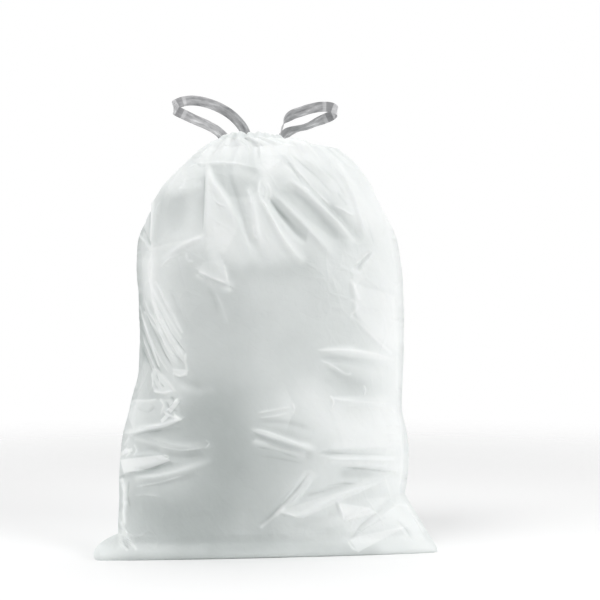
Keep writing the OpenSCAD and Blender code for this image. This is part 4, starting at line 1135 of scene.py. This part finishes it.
def stage():
    reach = np.linspace(0, FLOOR_R, FLOOR_RINGS + 1)[1:]
    turns = np.linspace(0, 360, FLOOR_TURNS, endpoint=False)
    points = [(0, 0, 0)] + [(r * cosd(t), r * sind(t), 0) for r in reach for t in turns]
    faces = [(0, 1 + k, 1 + (k + 1) % FLOOR_TURNS) for k in range(FLOOR_TURNS)]
    for i in range(FLOOR_RINGS - 1):
        start = 1 + i * FLOOR_TURNS
        for k in range(FLOOR_TURNS):
            n = (k + 1) % FLOOR_TURNS
            faces.append((start + k, start + FLOOR_TURNS + k, start + FLOOR_TURNS + n, start + n))
    floor = shaded_mesh("stage_floor", points, faces)
    material, tree, shader = new_material("stage_paper")
    shader.inputs["Base Color"].default_value = (0.93, 0.93, 0.93, 1)
    shader.inputs["Roughness"].default_value = 0.9
    where = node(tree, "ShaderNodeTexCoord").outputs["Object"]
    far = node(tree, "ShaderNodeVectorMath", operation="LENGTH")
    tree.links.new(where, far.inputs[0])
    fade = node(tree, "ShaderNodeMapRange", interpolation_type="SMOOTHSTEP",
                **{"From Min": FADE_FROM, "From Max": FADE_TO, "To Min": 1.0, "To Max": 0.0})
    tree.links.new(far.outputs["Value"], fade.inputs["Value"])
    tree.links.new(fade.outputs["Result"], shader.inputs["Alpha"])
    floor.data.materials.append(material)


# The surroundings light the bag brightly from behind and less from the front, and look white themselves
BEHIND = 1.0
AHEAD = 0.26


def surroundings():
    world = bpy.data.worlds.new("studio")
    bpy.context.scene.world = world
    world.use_nodes = True
    tree = world.node_tree
    direction = node(tree, "ShaderNodeTexCoord").outputs["Generated"]
    parts = node(tree, "ShaderNodeSeparateXYZ")
    tree.links.new(direction, parts.inputs[0])
    share = node(tree, "ShaderNodeMapRange", interpolation_type="SMOOTHSTEP",
                 **{"From Min": -0.3, "From Max": 0.35, "To Min": AHEAD, "To Max": BEHIND})
    tree.links.new(parts.outputs["Y"], share.inputs["Value"])
    seen = node(tree, "ShaderNodeLightPath").outputs["Is Camera Ray"]
    strength = node(tree, "ShaderNodeMath", operation="MAXIMUM")
    tree.links.new(share.outputs["Result"], strength.inputs[0])
    tree.links.new(seen, strength.inputs[1])
    tree.links.new(strength.outputs[0], tree.nodes["Background"].inputs["Strength"])
    tree.nodes["Background"].inputs["Color"].default_value = (1, 1, 1, 1)


def light(name, place, target, size, power):
    data = bpy.data.lights.new(name, "AREA")
    data.shape = "DISK"
    data.size = size
    data.energy = power
    lamp = bpy.data.objects.new(name, data)
    lamp.location = place
    lamp.rotation_euler = (Vector(target) - Vector(place)).to_track_quat("-Z", "Y").to_euler()
    bpy.context.scene.collection.objects.link(lamp)


def camera():
    data = bpy.data.cameras.new("camera")
    data.sensor_width = SENSOR
    data.lens = SENSOR * CAMERA_BACK / PICTURE_WIDTH
    view = bpy.data.objects.new("camera", data)
    view.location = (CAMERA_X, -CAMERA_BACK, CAMERA_Z)
    view.rotation_euler = (math.pi / 2, 0, 0)
    bpy.context.scene.collection.objects.link(view)
    bpy.context.scene.camera = view


camera()
stage()
surroundings()
LIGHT_TARGET = (0, 0, 0.28)
light("key_light", (1.9, -1.25, 1.3), LIGHT_TARGET, 1.3, 24)
light("top_light", (-0.7, -0.9, 2.3), LIGHT_TARGET, 1.0, 20)
light("left_light", (-2.1, -1.0, 0.9), LIGHT_TARGET, 0.7, 8)
bpy.context.scene.view_settings.view_transform = "Standard"

# Pieces
film = film_material()
grid, see_through_and_painted_light = film_grid()
half_up = ROWS // 2
back_middle = BACK_COLUMNS // 2
front_middle = BACK_COLUMNS + FRONT_COLUMNS // 2
for piece in (film_piece("film_back_right", 0, ROWS - 1, 0, back_middle),
              film_piece("film_back_left", 0, ROWS - 1, back_middle, BACK_COLUMNS),
              film_piece("film_front_lower_left", 0, half_up, BACK_COLUMNS, front_middle),
              film_piece("film_front_lower_right", 0, half_up, front_middle, len(columns)),
              film_piece("film_front_upper_left", half_up, ROWS - 1, BACK_COLUMNS, front_middle),
              film_piece("film_front_upper_right", half_up, ROWS - 1, front_middle, len(columns))):
    piece.data.materials.append(film)
    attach(piece, "root")
    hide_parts("bag")

grey = tape_material()
front_tape = tape("tape_front", 0, len(front_part), grey)
back_tape = tape("tape_back", len(front_part), len(band), grey)
for piece, name in ((front_tape, "front_drawtape"), (back_tape, "back_drawtape")):
    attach(piece, "root")
    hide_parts(name)
